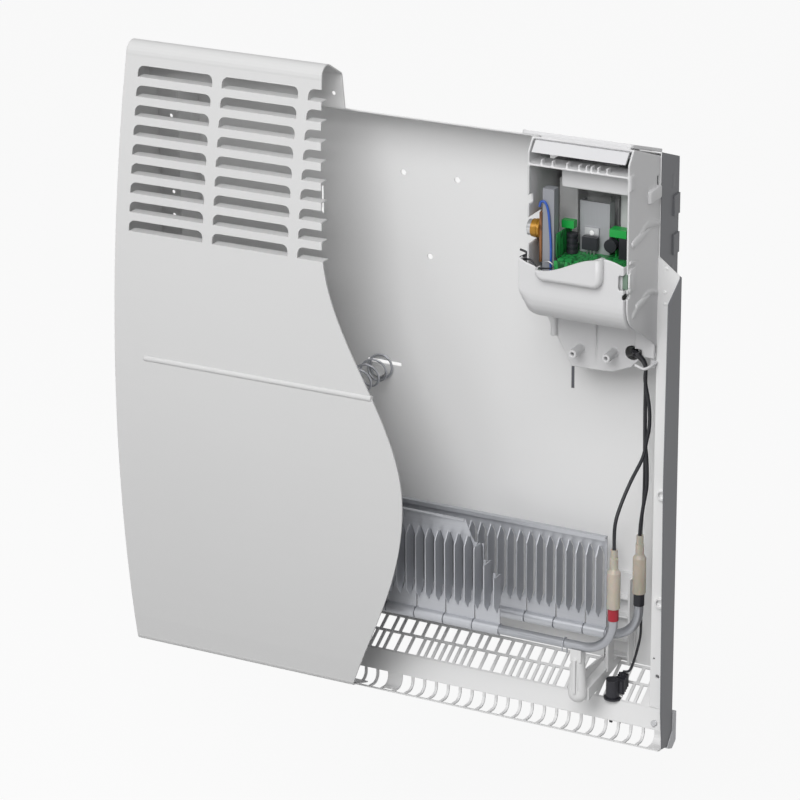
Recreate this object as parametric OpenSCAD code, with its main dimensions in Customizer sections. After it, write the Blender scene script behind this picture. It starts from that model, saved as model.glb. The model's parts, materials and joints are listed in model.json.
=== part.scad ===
// Wall-hung electric convector heater, shown with its front cover cut away
// along an S-shaped line so that the heating element and the control box
// can be seen. X runs across the heater, Y runs from the room to the wall
// (the wall is the plane Y = 0) and Z runs up from the bottom lip.

/* [Casing] */
// Width over the two sides of the front cover
body_w = 397; // [388:1:406]
// Height from the bottom lip to the top of the front cover
body_h = 459; // [455:1:464]
// Depth from the wall to the fullest point of the front cover
body_d = 97.7; // [95:0.1:102]
// Thickness of the painted steel sheet
sheet = 1; // [0.8:0.1:1.2]
// Depth of the back tray, from the wall to its front edge
tray_d = 29; // [28:0.5:31]
// Width of the rim between the tray wall and the side of the cover
rim_w = 15.5; // [14:0.5:17]

/* [Front cover] */
// Radius of the cover's bulge, seen from the side
bulge_r = 1030; // [950:10:1150]
// Height of the fullest point of the bulge
bulge_z = 200; // [180:5:220]
// Number of rows of louvres
louvre_rows = 9; // [7:1:9]
// Height from one row of louvres to the next
louvre_pitch = 13.1; // [12.5:0.1:13.3]
// Length of one louvre
louvre_l = 58.7; // [54:0.1:60]
// Height of one louvre's opening
louvre_h = 7.6; // [6:0.1:8]
// Depth of the blade turned in at the foot of each louvre
louvre_blade = 8; // [5:0.5:10]

/* [Cutaway] */
// Position of the cut across the louvres, from the middle of the heater
cut_top_x = -37.5; // [-42:0.5:-34]
// Position of the cut where the S swings furthest to the right
cut_belly_x = 26.6; // [20:0.1:30]

/* [Bottom grille] */
// Rise of the floor grille from its front edge to the back panel
floor_rise = 16.5; // [12:0.5:20]
// Width of a wide slot in the floor grille
slot_w = 6.85; // [5.5:0.05:7]
// Width of the bars between the slots of the floor grille
grille_bar = 2.2; // [2:0.1:2.8]
// Pitch of the curved slots in the front lip
lip_pitch = 9.4; // [9:0.1:10]

/* [Heating element] */
// Diameter of the sheathed heating tube
tube_dia = 6.5; // [6:0.1:7]
// Distance between the front leg and the back leg of the tube
tube_gap = 36; // [34:0.5:38]
// Distance from one fin to the next
fin_pitch = 7.48; // [7:0.01:8]
// Height of one fin between its two points
fin_h = 54; // [50:1:57]
// Width of one fin, front edge to back edge
fin_w = 10.5; // [9:0.1:11]

/* [Control box] */
// Width of the control box
box_w = 72; // [70:1:74]
// Distance that the control box stands in front of the tray's front edge
box_out = 49.5; // [48:0.5:51]
// Wall thickness of the plastic mouldings
wall = 1.4; // [1.2:0.1:1.6]
// Diameter of the thermostat knob
knob_dia = 21; // [19:1:22]

/* [Earth spring] */
// Outer diameter of the spring between the back panel and the cover
spring_dia = 19; // [17:0.5:20]
// Diameter of the spring wire
spring_wire = 1.6; // [1.4:0.1:1.8]
// Number of turns in the spring
spring_turns = 8; // [7:1:9]

/* [Hidden] */

$fn = 32;
gap = 0.2;
half_w = body_w / 2;
tray_x = half_w - rim_w;
flange_y = -tray_d;
tray_top = body_h - 38;
top_slope = 0.36;
floor_z = 22.3;
top_round = 9;
cut_start_z = 350;
cut_belly_z = 170;
cut_drop = 65.8;

// The heating element
element_y = flange_y + 6;
back_tube_z = 69.5;
front_tube_z = 73.8;
front_tube_y = element_y - tube_gap;
blade_t = 0.8;
blade_left = -(tray_x - 40);
back_blade_right = tray_x - 37.5;
front_blade_right = 81.8;
fin_mid_back = 109;
fin_mid_front = 114.5;
sleeve_r = tube_dia / 2 + 1;
bend_r = 22;
front_riser_x = tray_x - 16.4;
back_riser_x = tray_x - 13.4;

// The control box
box_r = tray_x - 1;
box_l = box_r - box_w;
box_front = flange_y - box_out;
box_back = -sheet - 1.2;
// The control box is drawn below a tray top at hang_z, and lifted to the real one
hang_z = 421;
lift = tray_top - hang_z;
shelf_z = 417.5;
panel_z = 425.5;
tail_y = -31;
bezel_tilt = atan(0.33);
bezel_t = 2.6;
bezel_w = 79;
bezel_l = 53;
bezel_x = box_r - 7 - bezel_w / 2;
bezel_front = [flange_y - 29, hang_z + 12];
knob_x = bezel_x + 22;
slider_x = bezel_x - 9;
rocker_x = bezel_x - 28;
lens_x = bezel_x + 5;
boss_pts = [[box_l + 17.6, 278.2], [box_l + 42, 278.9]];
bush_x = box_l + 40;

// Height of the sloping top at a given Y
function top_z(y) = tray_top - top_slope * (y - flange_y);
function lid_z(y) = top_z(y) - lift;
// Y of the outside of the cover at a given height
function front_y(z) = -body_d + pow(z - bulge_z, 2) / (2 * bulge_r);
// X of the S-shaped cut at a given height
function cut_x(z) =
  z > cut_start_z ? cut_top_x - 0.088 * (z - cut_start_z)
  : z > cut_belly_z ? cut_top_x + (cut_belly_x - cut_top_x)
      * (1 - cos(180 * (cut_start_z - z) / (cut_start_z - cut_belly_z))) / 2
  : cut_belly_x - cut_drop * (1 - cos(180 * (cut_belly_z - z) / 230)) / 2;
// Points on an arc about c from angle a0 to a1
function arc(c, r, a0, a1, n) =
  [for (i = [0 : n]) let (a = a0 + (a1 - a0) * i / n) [c[0] + r * cos(a), c[1] + r * sin(a)]];
// Height of the wavy cut edge of the control box's front cover
function wavy_z(x) = 355.5 - 6.3 * cos(180 * (x - 123) / 42);

// Extrudes an outline drawn in X and Z from y0 to y1
module along_y(y0, y1) {
  translate([0, y1, 0]) rotate([90, 0, 0]) linear_extrude(y1 - y0) children();
}
// Extrudes an outline drawn in Y and Z from x0 to x1
module along_x(x0, x1) {
  translate([x0, 0, 0]) rotate([90, 0, 90]) linear_extrude(x1 - x0) children();
}
// A box between two corners
module block(a, b) {
  translate(a) cube([b[0] - a[0], b[1] - a[1], b[2] - a[2]]);
}
// A cylinder along X, Y or Z from a given start point
module rod(p, r, l, dir = "z") {
  translate(p) rotate(dir == "x" ? [0, 90, 0] : dir == "y" ? [-90, 0, 0] : [0, 0, 0])
    cylinder(r = r, h = l);
}

// A round tube swept along a list of points, as one polyhedron
function unit(v) = v / norm(v);
function tangent(p, i) = unit(p[min(i + 1, len(p) - 1)] - p[max(i - 1, 0)]);
function turned(n, t) = unit(n - (n * t) * t);
function frames(p, i, n) =
  let (t = tangent(p, i), m = turned(n, t))
    i == len(p) - 1 ? [[m, cross(t, m)]] : concat([[m, cross(t, m)]], frames(p, i + 1, m));
module swept_tube(p, r, sides) {
  f = frames(p, 0, [0.31, 0.94, 0.12]);
  pts = [for (i = [0 : len(p) - 1], k = [0 : sides - 1]) let (a = 360 * k / sides)
    p[i] + r * (cos(a) * f[i][0] + sin(a) * f[i][1])];
  faces = concat(
    [[for (k = [0 : sides - 1]) k]],
    [for (i = [0 : len(p) - 2], k = [0 : sides - 1]) let (j = (k + 1) % sides)
      [i * sides + k, (i + 1) * sides + k, (i + 1) * sides + j, i * sides + j]],
    [[for (k = [sides - 1 : -1 : 0]) (len(p) - 1) * sides + k]]
  );
  polyhedron(points = pts, faces = faces, convexity = 6);
}
// Points of a smooth route through hand-chosen points
function blend(a, b, c, d, t) =
  0.5 * ((2 * b) + (c - a) * t + (2 * a - 5 * b + 4 * c - d) * t * t
    + (3 * b - a - 3 * c + d) * t * t * t);
function smooth(p, n) = concat(
  [for (i = [0 : len(p) - 2], k = [0 : n - 1])
    blend(p[max(i - 1, 0)], p[i], p[i + 1], p[min(i + 2, len(p) - 1)], k / n)],
  [p[len(p) - 1]]);

// Height of the two wall screws above the bottom lip; the part's origin is midway between them
mount_z = tray_top - 49;
module hung() {
  placed() translate([0, 0, lift]) children();
}
module placed() {
  translate([0, 0, -mount_z]) children();
}

// Back tray
module mounting_holes() {
  for (s = [-1, 1]) rod([s * 20.6, -3, mount_z], 2.1, 6, "y");
  rod([-0.5, -3, mount_z - 57.8], 2.1, 6, "y");
  block([-85, -3, mount_z - 36], [-81, 3, mount_z - 20]);
  rod([-83, -3, mount_z - 20], 2, 6, "y");
  rod([-83, -3, mount_z - 36], 2.6, 6, "y");
  block([107.2, -3, 236], [109.4, 3, 252]);
  block([-50, -3, spring_z + 1.6], [-23.5, 3, spring_z + 4.4]);
  rod([bush_x, -3, 300 + lift], 5.1, 6, "y");
}
module back_panel() {
  color("gainsboro") {
    difference() {
      block([-tray_x, -sheet, floor_z + floor_rise + 1], [tray_x, 0, top_z(0)]);
      mounting_holes();
    }
    difference() {
      for (s = [-1, 1])
        along_x(s * tray_x - (s > 0 ? sheet : 0), s * tray_x + (s > 0 ? 0 : sheet))
          polygon([[0, 36], [0, top_z(0)], [flange_y, top_z(flange_y)],
            [flange_y, floor_z + 1.5], [flange_y + 4, floor_z + 1.5]]);
      for (s = [-1, 1], z = [330 + lift, 392 + lift])
        block([s * tray_x - 3, -12, z], [s * tray_x + 3, -7, z + 9]);
    }
    for (z = [345 + lift, 372 + lift], s = [-1, 1])
      block([s > 0 ? tray_x : -tray_x - 1, -9, z], [s > 0 ? tray_x + 1 : -tray_x, 0, z + 14]);
    difference() {
      along_x(-tray_x, tray_x)
        polygon([[flange_y, tray_top], [0, top_z(0)], [0, top_z(0) - sheet],
          [flange_y, tray_top - sheet]]);
      block([bezel_x - bezel_w / 2 - 0.5, flange_y - 1, 300],
        [bezel_x + bezel_w / 2 + 0.5, -4, 500]);
    }
  }
}

// Bottom grille: a floor with two rows of slots, a band and a curved lip
function back_row(i) = (i % 4 == 2) ? 4.15 : slot_w;
function front_row(i) = ((i + 7) % 10 < 3) ? slot_w : 3.5;
function row_x(i, front) = i == 0 ? 0
  : row_x(i - 1, front) + (front ? front_row(i - 1) : back_row(i - 1)) + grille_bar;
// Slots from one side of the floor to the other, as many as the tray has room for
module slot_row(y0, y1, front) {
  start = -tray_x + (front ? 7.35 : 5.95);
  for (i = [0 : 60]) {
    x = start + row_x(i, front);
    w = front ? front_row(i) : back_row(i);
    if (x + w < tray_x - 2) translate([x, y0]) square([w, y1 - y0]);
  }
}
floor_l = sqrt(pow(tray_d - 1.2, 2) + pow(floor_rise, 2));
module floor_plate() {
  translate([0, flange_y, floor_z]) rotate([atan(floor_rise / (tray_d - 1.2)), 0, 0])
    linear_extrude(sheet) difference() {
      translate([-tray_x + sheet + gap, 0]) square([2 * (tray_x - sheet - gap), floor_l - 0.2]);
      slot_row(1.4, floor_l * 0.5, true);
      slot_row(floor_l * 0.5 + 1.8, floor_l - 2.2, false);
      translate([probe_x - 4, 0.9]) square([10, 4]);
    }
}
lip_in = flange_y - 5;
lip_front = flange_y - 20.5;
function lip_outer() = concat([[flange_y, floor_z], [lip_in, 10], [lip_in, 7]],
  arc([lip_in - 6.5, 7], 6.5, 0, -90, 8), [[lip_front + 2, 1.2], [lip_front, 1.9]]);
function lip_inner() = concat([[lip_front, 1.9 + sheet], [lip_front + 2, 1.2 + sheet]],
  arc([lip_in - 6.5, 7], 6.5 - sheet, -90, 0, 8),
  [[lip_in - sheet, 10], [flange_y - sheet * 0.6, floor_z + sheet]]);
module bottom_grille() {
  color("gainsboro") {
    floor_plate();
    difference() {
      along_x(-half_w + sheet + gap, half_w - sheet - gap)
        polygon(concat(lip_outer(), lip_inner(), [[flange_y + 0.4, floor_z + sheet]]));
      for (i = [0 : 38])
        block([-tray_x + 6.5 + i * lip_pitch, lip_front + 2.2, -2],
          [-tray_x + 6.5 + (i + 1) * lip_pitch - 2, i == 17 ? lip_front + 6 : lip_in + 1, 9.8]);
      for (s = [-1, 1]) corner_screw(s) translate([0, 0, -3]) cylinder(r = 1.6, h = 9);
    }
  }
}

// Front cover, cut along the S
function cover_outer() = concat(
  [[flange_y - 22, 6.5]],
  arc([front_y(22) + 5.2, 22], 5, 240, 180, 5),
  [for (i = [1 : 26]) let (z = 22 + (body_h - top_round - 22) * i / 26) [front_y(z), z]],
  arc([front_y(body_h - top_round) + top_round, body_h - top_round], top_round, 170, 62, 8),
  arc([flange_y - 13, body_h - 12], 3, 50, 0, 3),
  [[flange_y - 10, body_h - 35]]);
function cover_inner() = concat(
  [[flange_y - 10 - sheet, body_h - 35]],
  arc([flange_y - 13, body_h - 12], 3 - sheet, 0, 50, 3),
  arc([front_y(body_h - top_round) + top_round, body_h - top_round], top_round - sheet, 62, 170, 8),
  [for (i = [26 : -1 : 1]) let (z = 22 + (body_h - top_round - 22) * i / 26)
    [front_y(z) + sheet, z]],
  arc([front_y(22) + 5.2, 22], 5 - sheet, 180, 240, 5),
  [[flange_y - 22, 6.5 + sheet]]);
module louvre_outline() {
  r = 4.5;
  polygon(concat([[0, 0], [louvre_l, 0]], arc([louvre_l - r, louvre_h - r], r, 0, 90, 5),
    arc([r, louvre_h - r], r, 90, 180, 5)));
}
module each_louvre() {
  for (c = [0 : 2], i = [0 : louvre_rows - 1])
    translate([-half_w + 10.5 + c * (louvre_l + 7.6), body_h - 22.4 - i * louvre_pitch])
      children();
}
module cut_outline() {
  polygon(concat([[-half_w, 0]],
    [for (i = [0 : 56]) let (z = i * (body_h + 10) / 56) [cut_x(z), z]],
    [[-half_w, body_h + 10]]));
}
module louvre_blades() {
  for (c = [0 : 2], i = [0 : louvre_rows - 1]) {
    x = -half_w + 10.5 + c * (louvre_l + 7.6);
    z = body_h - 22.4 - i * louvre_pitch;
    end = c < 2 ? x + louvre_l : cut_x(z);
    translate([x + 0.3, front_y(z) + 0.1, z - sheet * 0.9])
      cube([end - x - 0.6, louvre_blade, sheet * 0.9]);
  }
}
module cover_hem(x0, x1) {
  difference() {
    block([x0, flange_y - sheet, floor_z + 2], [x1, flange_y, body_h - 14]);
    for (z = [48, 326, 343, 398.5, 428]) rod([-tray_x - 4.4, flange_y - 3, z], 1.4, 6, "y");
  }
}
module front_cover() {
  color("whitesmoke") {
    intersection() {
      along_x(-half_w, half_w) polygon(concat(cover_outer(), cover_inner()));
      difference() {
        along_y(-body_d - 5, 0) cut_outline();
        along_y(-body_d - 5, flange_y - 22) each_louvre() louvre_outline();
        rod([-52.5, flange_y - 14, 434], 1.5, 8, "y");
      }
    }
    along_x(-half_w, -half_w + sheet)
      polygon(concat([for (p = cover_outer()) if (p[1] > body_h - 13 || p[0] < flange_y - 20) p],
        [[flange_y, body_h - 16], [flange_y, 9]]));
    cover_hem(-half_w, -tray_x + 1);
    intersection() {
      louvre_blades();
      along_y(-body_d - 5, 0) cut_outline();
    }
    emboss_line();
  }
}
// A raised line across the cover below the louvres
module emboss_line() {
  intersection() {
    union() {
      rod([-half_w + 25, front_y(243) + 1, 243], 2.1, 230, "x");
      translate([-half_w + 25, front_y(243) + 1, 243]) sphere(r = 2.1);
    }
    block([-half_w + 20, -body_d - 5, 230], [cut_x(243) - 0.2, 0, 250]);
  }
}
// What is left of the cover's right side
strip_top = 338;
module cover_side_strip() {
  color("dimgray")
    along_x(half_w - sheet, half_w)
      polygon([[flange_y, strip_top], [flange_y - 20, strip_top - 12.5],
        [flange_y - 22, 200], [flange_y - 19, 30], [flange_y - 16, 2], [flange_y - 8, 0.5],
        [flange_y, 9]]);
  color("whitesmoke") {
    difference() {
      along_y(flange_y - sheet, flange_y)
        polygon([[tray_x - 1, floor_z + 2], [tray_x - 1, strip_top + 12.5],
          [half_w - 0.2, strip_top], [half_w - 0.2, floor_z + 2]]);
      for (z = [48, 61, 326, 343])
        rod([tray_x + (z == 61 ? 1.6 : 4.4), flange_y - 3, z], z == 48 ? 1.5 : 0.8, 6, "y");
    }
    for (z = [103.5, 182.8])
      intersection() {
        translate([tray_x + 5.5, flange_y - 1.5, z]) rotate([90, 0, 0])
          difference() {
            cylinder(r = 3.8, h = 3, center = true);
            cylinder(r = 2.6, h = 4, center = true);
          }
        block([tray_x, flange_y - 3.2, z - 5], [tray_x + 7.5, flange_y - 0.4, z + 5]);
      }
  }
}
// Places a screw square to the lip near one of its ends
module corner_screw(s) {
  translate([s * (tray_x + 4.2), lip_in + 0.6, 14]) rotate([-112.1, 0, 0]) children();
}
module cover_screws() {
  color("silver")
    for (s = [-1, 1])
      corner_screw(s) {
        translate([0, 0, -1.5]) cylinder(r = 2.1, h = 1.3);
        translate([0, 0, -0.4]) cylinder(r = 1.4, h = 6);
      }
}
module corner_cap(s) {
  x0 = s * (half_w - 5);
  x1 = s * (half_w + 0.8);
  color("darkgray")
    along_x(min(x0, x1), max(x0, x1))
      polygon([[flange_y - 7, -1.6], [flange_y - 1, -4], [flange_y + 5.4, 0], [flange_y + 5.4, 22],
        [flange_y + 0.2, 22], [flange_y + 0.2, 8.4], [flange_y - 8, 0], [flange_y - 8, -1]]);
}
module corner_cap_right() { corner_cap(1); }
module corner_cap_left() { corner_cap(-1); }

// Spring that bonds the cover to the back panel
spring_x = -38.9;
spring_z = 228;
spring_l = -front_y(spring_z) - sheet * 2 - 4.2;
spring_r = (spring_dia - spring_wire) / 2;
spring_start = -sheet - 1.6;
spring_path = [for (i = [0 : spring_turns * 8]) let (a = 45 * i + 90, k = i / (spring_turns * 8))
  [spring_x + spring_r * cos(a), spring_start - spring_l * k, spring_z + spring_r * sin(a)]];
echo(spring_self_gap = spring_l / spring_turns - spring_wire);
module earth_spring() {
  color("silver")
    swept_tube(concat(
      [spring_path[0] + [spring_wire * 1.6, 0.05, 0], spring_path[0] + [spring_wire * 0.7, 0, 0]],
      [for (i = [1 : len(spring_path) - 2]) spring_path[i]],
      [spring_path[len(spring_path) - 1] - [spring_wire * 0.7, 0, 0],
        spring_path[len(spring_path) - 1] - [spring_wire * 1.6, 0.05, 0]]),
      spring_wire / 2, 6);
}
module spring_seat() {
  color("silver") {
    rod([spring_x, -sheet - 4, spring_z - 2], 3.4, 4, "y");
    rod([spring_x, -sheet - 5.4, spring_z - 2], 4.4, 1.4, "y");
  }
}

// Heating tube: one tube out along the front, round, and back along the rear
lean = atan((front_tube_z - back_tube_z) / tube_gap);
turn_r = sqrt(pow(tube_gap, 2) + pow(front_tube_z - back_tube_z, 2)) / 2;
turn_c = [blade_left - 16.5, (element_y + front_tube_y) / 2, (back_tube_z + front_tube_z) / 2];
function riser(x, y, z, top, up) =
  let (b = [for (k = [0 : 7]) let (a = (up ? k : 7 - k) * 90 / 7)
    [x - bend_r + bend_r * sin(a), y, z + bend_r - bend_r * cos(a)]])
    up ? concat(b, [[x, y, top]]) : concat([[x, y, top]], b);
tube_path = concat(
  riser(back_riser_x, element_y, back_tube_z, 103, false),
  [for (k = [0 : 14]) let (a = 90 + k * 180 / 14, v = turn_r * sin(a))
    turn_c + [turn_r * cos(a), v * cos(lean), -v * sin(lean)]],
  riser(front_riser_x, front_tube_y, front_tube_z, 106, true));
module heating_tube() {
  color("darkgray") swept_tube(tube_path, tube_dia / 2, 20);
}

// Finned blade, pressed round the tube along its lower edge
function fin_shape(h, w) = [[0, -h / 2], [w / 2, -h / 2 + 7], [w / 2, h / 2 - 7], [0, h / 2],
  [-w / 2, h / 2 - 7], [-w / 2, -h / 2 + 7]];
module fin_windows(n, x0, zc) {
  for (i = [0 : n - 1])
    translate([x0 + i * fin_pitch, zc]) polygon(fin_shape(fin_h - 4, fin_pitch - 2));
}
module fin_slits(n, x0, z0, z1) {
  for (i = [0 : 3 : n - 1])
    translate([x0 + (i - 0.5) * fin_pitch - 0.5, z0]) square([1, z1 - z0]);
}
module fins(n, x0, y, zc) {
  for (i = [0 : n - 1])
    along_x(x0 + i * fin_pitch - blade_t / 2, x0 + i * fin_pitch + blade_t / 2)
      translate([y - fin_w / 2 + 1.2, zc]) polygon(fin_shape(fin_h, fin_w));
}
module blade_grip(x1, y, z) {
  difference() {
    rod([blade_left, y, z], sleeve_r, x1 - blade_left, "x");
    rod([blade_left - 1, y, z], tube_dia / 2 + 0.05, x1 - blade_left + 2, "x");
    for (x = [blade_left + 2.4 + 3 * fin_pitch : 3 * fin_pitch : x1 - 4])
      block([x, y - 8, z - 8], [x + 1, y + 8, z + 8]);
  }
}
fin_x0 = blade_left + 7.44;
fin_count = floor((back_blade_right - fin_x0) / fin_pitch) + 1;
module back_fin_blade() {
  z0 = back_tube_z + sleeve_r - 0.4;
  z1 = 142;
  color("slategray") {
    along_y(element_y - blade_t / 2, element_y + blade_t / 2) difference() {
      translate([blade_left, z0]) square([back_blade_right - blade_left, z1 - z0]);
      fin_windows(fin_count, fin_x0, fin_mid_back);
      fin_slits(fin_count, fin_x0, z0 - 1, fin_mid_back - fin_h / 2 + 6);
    }
    block([blade_left, element_y - 3.2, z1 - 0.8], [back_blade_right, element_y + 0.4, z1]);
    block([blade_left, element_y - 3.2, z1 - 3], [back_blade_right, element_y - 2.6, z1]);
    fins(fin_count, fin_x0, element_y, fin_mid_back);
    blade_grip(back_blade_right, element_y, back_tube_z);
  }
}
// The front blade is cut in steps where the cutaway passes it
module front_fin_blade() {
  z0 = front_tube_z + sleeve_r - 0.4;
  z1 = 151;
  step = [[55.4, z1], [60.2, 139.4], [62.5, 135.5], [69.6, 135.5], [69.6, 123.6],
    [75.4, 123.6], [75.4, 115], [front_blade_right, 115]];
  n = 30;
  color("slategray") {
    along_y(front_tube_y - blade_t / 2, front_tube_y + blade_t / 2) difference() {
      polygon(concat([[blade_left, z0], [blade_left, z1]], step, [[front_blade_right, z0]]));
      fin_windows(n, fin_x0, fin_mid_front);
      fin_slits(n, fin_x0, z0 - 1, fin_mid_front - fin_h / 2 + 6);
    }
    block([blade_left, front_tube_y - 2.4, z1 - 0.8], [55, front_tube_y + 0.4, z1]);
    intersection() {
      fins(n, fin_x0, front_tube_y, fin_mid_front);
      along_y(front_tube_y - 10, front_tube_y + 10)
        polygon(concat([[blade_left, 0], [blade_left, z1]], step, [[front_blade_right, 0]]));
    }
    blade_grip(front_blade_right, front_tube_y, front_tube_z);
  }
}

support_x = tray_x - 42.2;
// Plastic support that carries both legs of the tube off the back panel
module element_support(s, x) {
  post = front_tube_z - sleeve_r - 0.6;
  color("whitesmoke") scale([s, 1, 1]) {
    difference() {
      union() {
        hull() {
          translate([x, front_tube_y, 38]) scale([1, 0.8, 1]) sphere(r = 6.6);
          translate([x, front_tube_y, 44]) scale([1, 0.8, 1]) cylinder(r = 6.2, h = 2);
          translate([x, front_tube_y, post - 6]) cylinder(r = 4.4, h = 3);
        }
        block([x - 4, front_tube_y - 4, post - 6], [x + 4, front_tube_y + 4, post + 3]);
        block([x - 1, front_tube_y - 6.4, 40], [x + 1, front_tube_y, post - 4]);
      }
      rod([x - 12, front_tube_y, front_tube_z], tube_dia / 2 + 0.2, 24, "x");
      for (k = [-1, 1])
        block([x + k * 3.4 - 1.1, front_tube_y - 7, 42], [x + k * 3.4 + 1.1, front_tube_y - 4.2, post - 8]);
    }
    // Rail back to the panel, with a web under the tube legs
    along_x(x, x + 7.6)
      polygon([[front_tube_y + 2, 33], [-sheet - gap, 41], [-sheet - gap, 47],
        [front_tube_y + 2, 42]]);
    along_x(x - 1, x + 0.6)
      polygon([[front_tube_y + 3, 38], [element_y + 5, 41], [element_y + 5, 49],
        [front_tube_y + 12, 50], [front_tube_y + 9, post - 1], [front_tube_y + 3, post - 1]]);
    difference() {
      block([x + 6.6, element_y - 4.6, 42], [x + 8.6, element_y + 4.6, back_tube_z - 1]);
      rod([x - 9, element_y, back_tube_z], tube_dia / 2 + 0.2, 18, "x");
    }
    // Ribbed shield against the back panel
    block([x - 4, -sheet - gap - 2, 42], [x + 18, -sheet - gap, 108]);
    for (dx = [-4, 15]) block([x + dx, -sheet - gap - 9, 42], [x + dx + 1.6, -sheet - gap, 106]);
    for (z = [46, 58, 76, 90]) block([x - 4, -sheet - gap - 8, z], [x + 16, -sheet - gap, z + 1.4]);
  }
}
module element_support_right() { element_support(1, support_x); }
module element_support_left() { element_support(-1, -blade_left + 7); }
// Wire clips that hold the tube down on the supports
clip_r = tube_dia / 2 + 0.65;
module wire_clip(x, y, z, l) {
  swept_tube(concat([[x, y + clip_r, z - l]],
    [for (k = [0 : 8]) let (a = k * 180 / 8) [x, y + clip_r * cos(a), z + clip_r * sin(a)]],
    [[x, y - clip_r, z - l * 0.5]]), 0.5, 6);
}
module element_clips() {
  color("gray") {
    wire_clip(support_x - 10, front_tube_y, front_tube_z, 9);
    wire_clip(back_blade_right + 0.9, element_y, back_tube_z, 12);
    wire_clip(blade_left - 13.6, front_tube_y, front_tube_z, 9);
    wire_clip(blade_left - 11.2, element_y, back_tube_z, 12);
  }
}
// Terminals on the two ends of the tube
module sleeve(x, y, z) {
  color("antiquewhite")
    difference() {
      union() {
        rod([x, y, z], 4.6, 26);
        translate([x, y, z + 26]) cylinder(r1 = 4.6, r2 = 2.9, h = 2.6);
        rod([x, y, z + 28.6], 2.9, 8);
        rod([x, y, z + 36.6], 2.4, 6);
      }
      rod([x, y, z - 1], 3.6, 12);
      rod([x, y, z + 10], 1.5, 40);
    }
}
module front_terminal_sleeve() { sleeve(front_riser_x, front_tube_y, 107.4); }
module back_terminal_sleeve() { sleeve(back_riser_x, element_y, 104.6); }
module terminal_pins() {
  color("silver") {
    rod([front_riser_x, front_tube_y, 106], 1.2, 24);
    rod([back_riser_x, element_y, 103], 1.2, 24);
  }
}
module band(x, y, z) {
  difference() {
    rod([x, y, z], tube_dia / 2 + 0.5, 8.8);
    rod([x, y, z - 1], tube_dia / 2 + 0.05, 12);
  }
}
module front_terminal_band() { color("crimson") band(front_riser_x, front_tube_y, 98.3); }
module back_terminal_band() { color("black") band(back_riser_x, element_y, 95.5); }

// Control box
function side_outline(y_back) = concat(
  [[y_back, lid_z(y_back) - 2.4], [box_front + 7, lid_z(box_front + 7) - 2.4],
    [box_front, panel_z - 0.5], [box_front, 332]],
  arc([box_front + 20, 330], 20, 180, 240, 7),
  [[flange_y + 1, 287], [y_back, 285]]);
function left_outline(y_back) =
  [[y_back, lid_z(y_back) - 2.4], [box_front + 7, lid_z(box_front + 7) - 2.4],
    [box_front, panel_z - 0.5], [box_front, 336.5], [tail_y + 0.2, 336.5],
    [tail_y + 0.2, 309], [y_back, 309]];
module comb_ribs() {
  for (x = [9, 16.8, 27, 35.6, 40.7, 44.2, 48.9, 55.1])
    block([box_l + x, box_front + 0.6, shelf_z], [box_l + x + 1.2, box_front + 6, shelf_z + 3.6]);
}
module control_housing() {
  color("whitesmoke") {
    difference() {
      along_x(box_r - wall, box_r) polygon(side_outline(box_back));
      block([box_r - 3, box_front - 1, 342], [box_r + 1, box_front + 1.6, 352]);
      block([box_r - 3, box_front - 1, 335.5], [box_r + 1, box_front + 3, 339]);
      block([box_r - 3, -34, 396], [box_r + 1, -30.6, 406]);
    }
    difference() {
      along_x(box_l, box_l + wall) polygon(left_outline(box_back));
      block([box_l - 1, -46, 410], [box_l + 3, -20, 440]);
      block([box_l - 1, box_front - 1, 363], [box_l + 3, box_front + 20, 381]);
      block([box_l - 1, box_front - 1, 390], [box_l + 3, box_front + 6, 396]);
    }
    block([box_l, box_back - wall, 309], [box_r, box_back, lid_z(0) - 3]);
    difference() {
      along_x(box_l, box_r)
        polygon([[box_back, lid_z(box_back) - 2.4], [box_front + 7, lid_z(box_front + 7) - 2.4],
          [box_front + 7, lid_z(box_front + 7) - 4], [box_back, lid_z(box_back) - 4]]);
      block([box_l - 1, -46, 400], [bezel_x + 34, -20, 440]);
    }
    // Shelf with its comb, and the sloping wall below it
    block([box_l, box_front, shelf_z - wall], [box_r, box_front + 18, shelf_z]);
    comb_ribs();
    block([box_l + 19, box_front + 12, shelf_z - 16], [box_r - 1, box_front + 13.4, shelf_z - 1]);
    along_x(box_l + 19, box_r - 1)
      polygon([[box_front + 12, shelf_z - 15], [box_front + 34, shelf_z - 19],
        [box_front + 34, shelf_z - 20.6], [box_front + 12, shelf_z - 16.4]]);
    // Columns moulded behind the heat sink
    for (x = [[5, 18.4], [49, 59]])
      block([box_l + x[0], -40, board_z + 0.2], [box_l + x[1], box_back, 398]);
    // Ribs, hook and boss on the outside of the right wall
    rib_s(box_r, 238);
    rib_s(box_r, 190);
    block([box_r - 0.2, box_front + 1.4, 408], [box_r + 0.9, box_front + 7, 418]);
    block([box_r - 0.2, -47, 390.5], [box_r + 0.9, -30, 400]);
    block([box_r - 0.2, box_front + 2.4, 339.6], [box_r + 0.8, box_front + 8, 354.6]);
    // Small brackets at the foot of the right wall
    block([box_r - 9, -34, 280], [box_r, -31, 286]);
    block([box_r - 14, -34, 285], [box_r, -31.2, 300]);
    block([box_r - 4, -31, 272], [box_r, -27, 283]);
    // Bosses that hold the circuit board
    for (x = [22, 66]) {
      difference() {
        rod([box_l + x, -20, 318], 3, board_z - 1.8 - 318);
        rod([box_l + x, -20, board_z - 5], 1.25, 6);
      }
      block([box_l + x - 0.8, -20, 318], [box_l + x + 0.8, box_back - 0.5, board_z - 6]);
    }
  }
}
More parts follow.
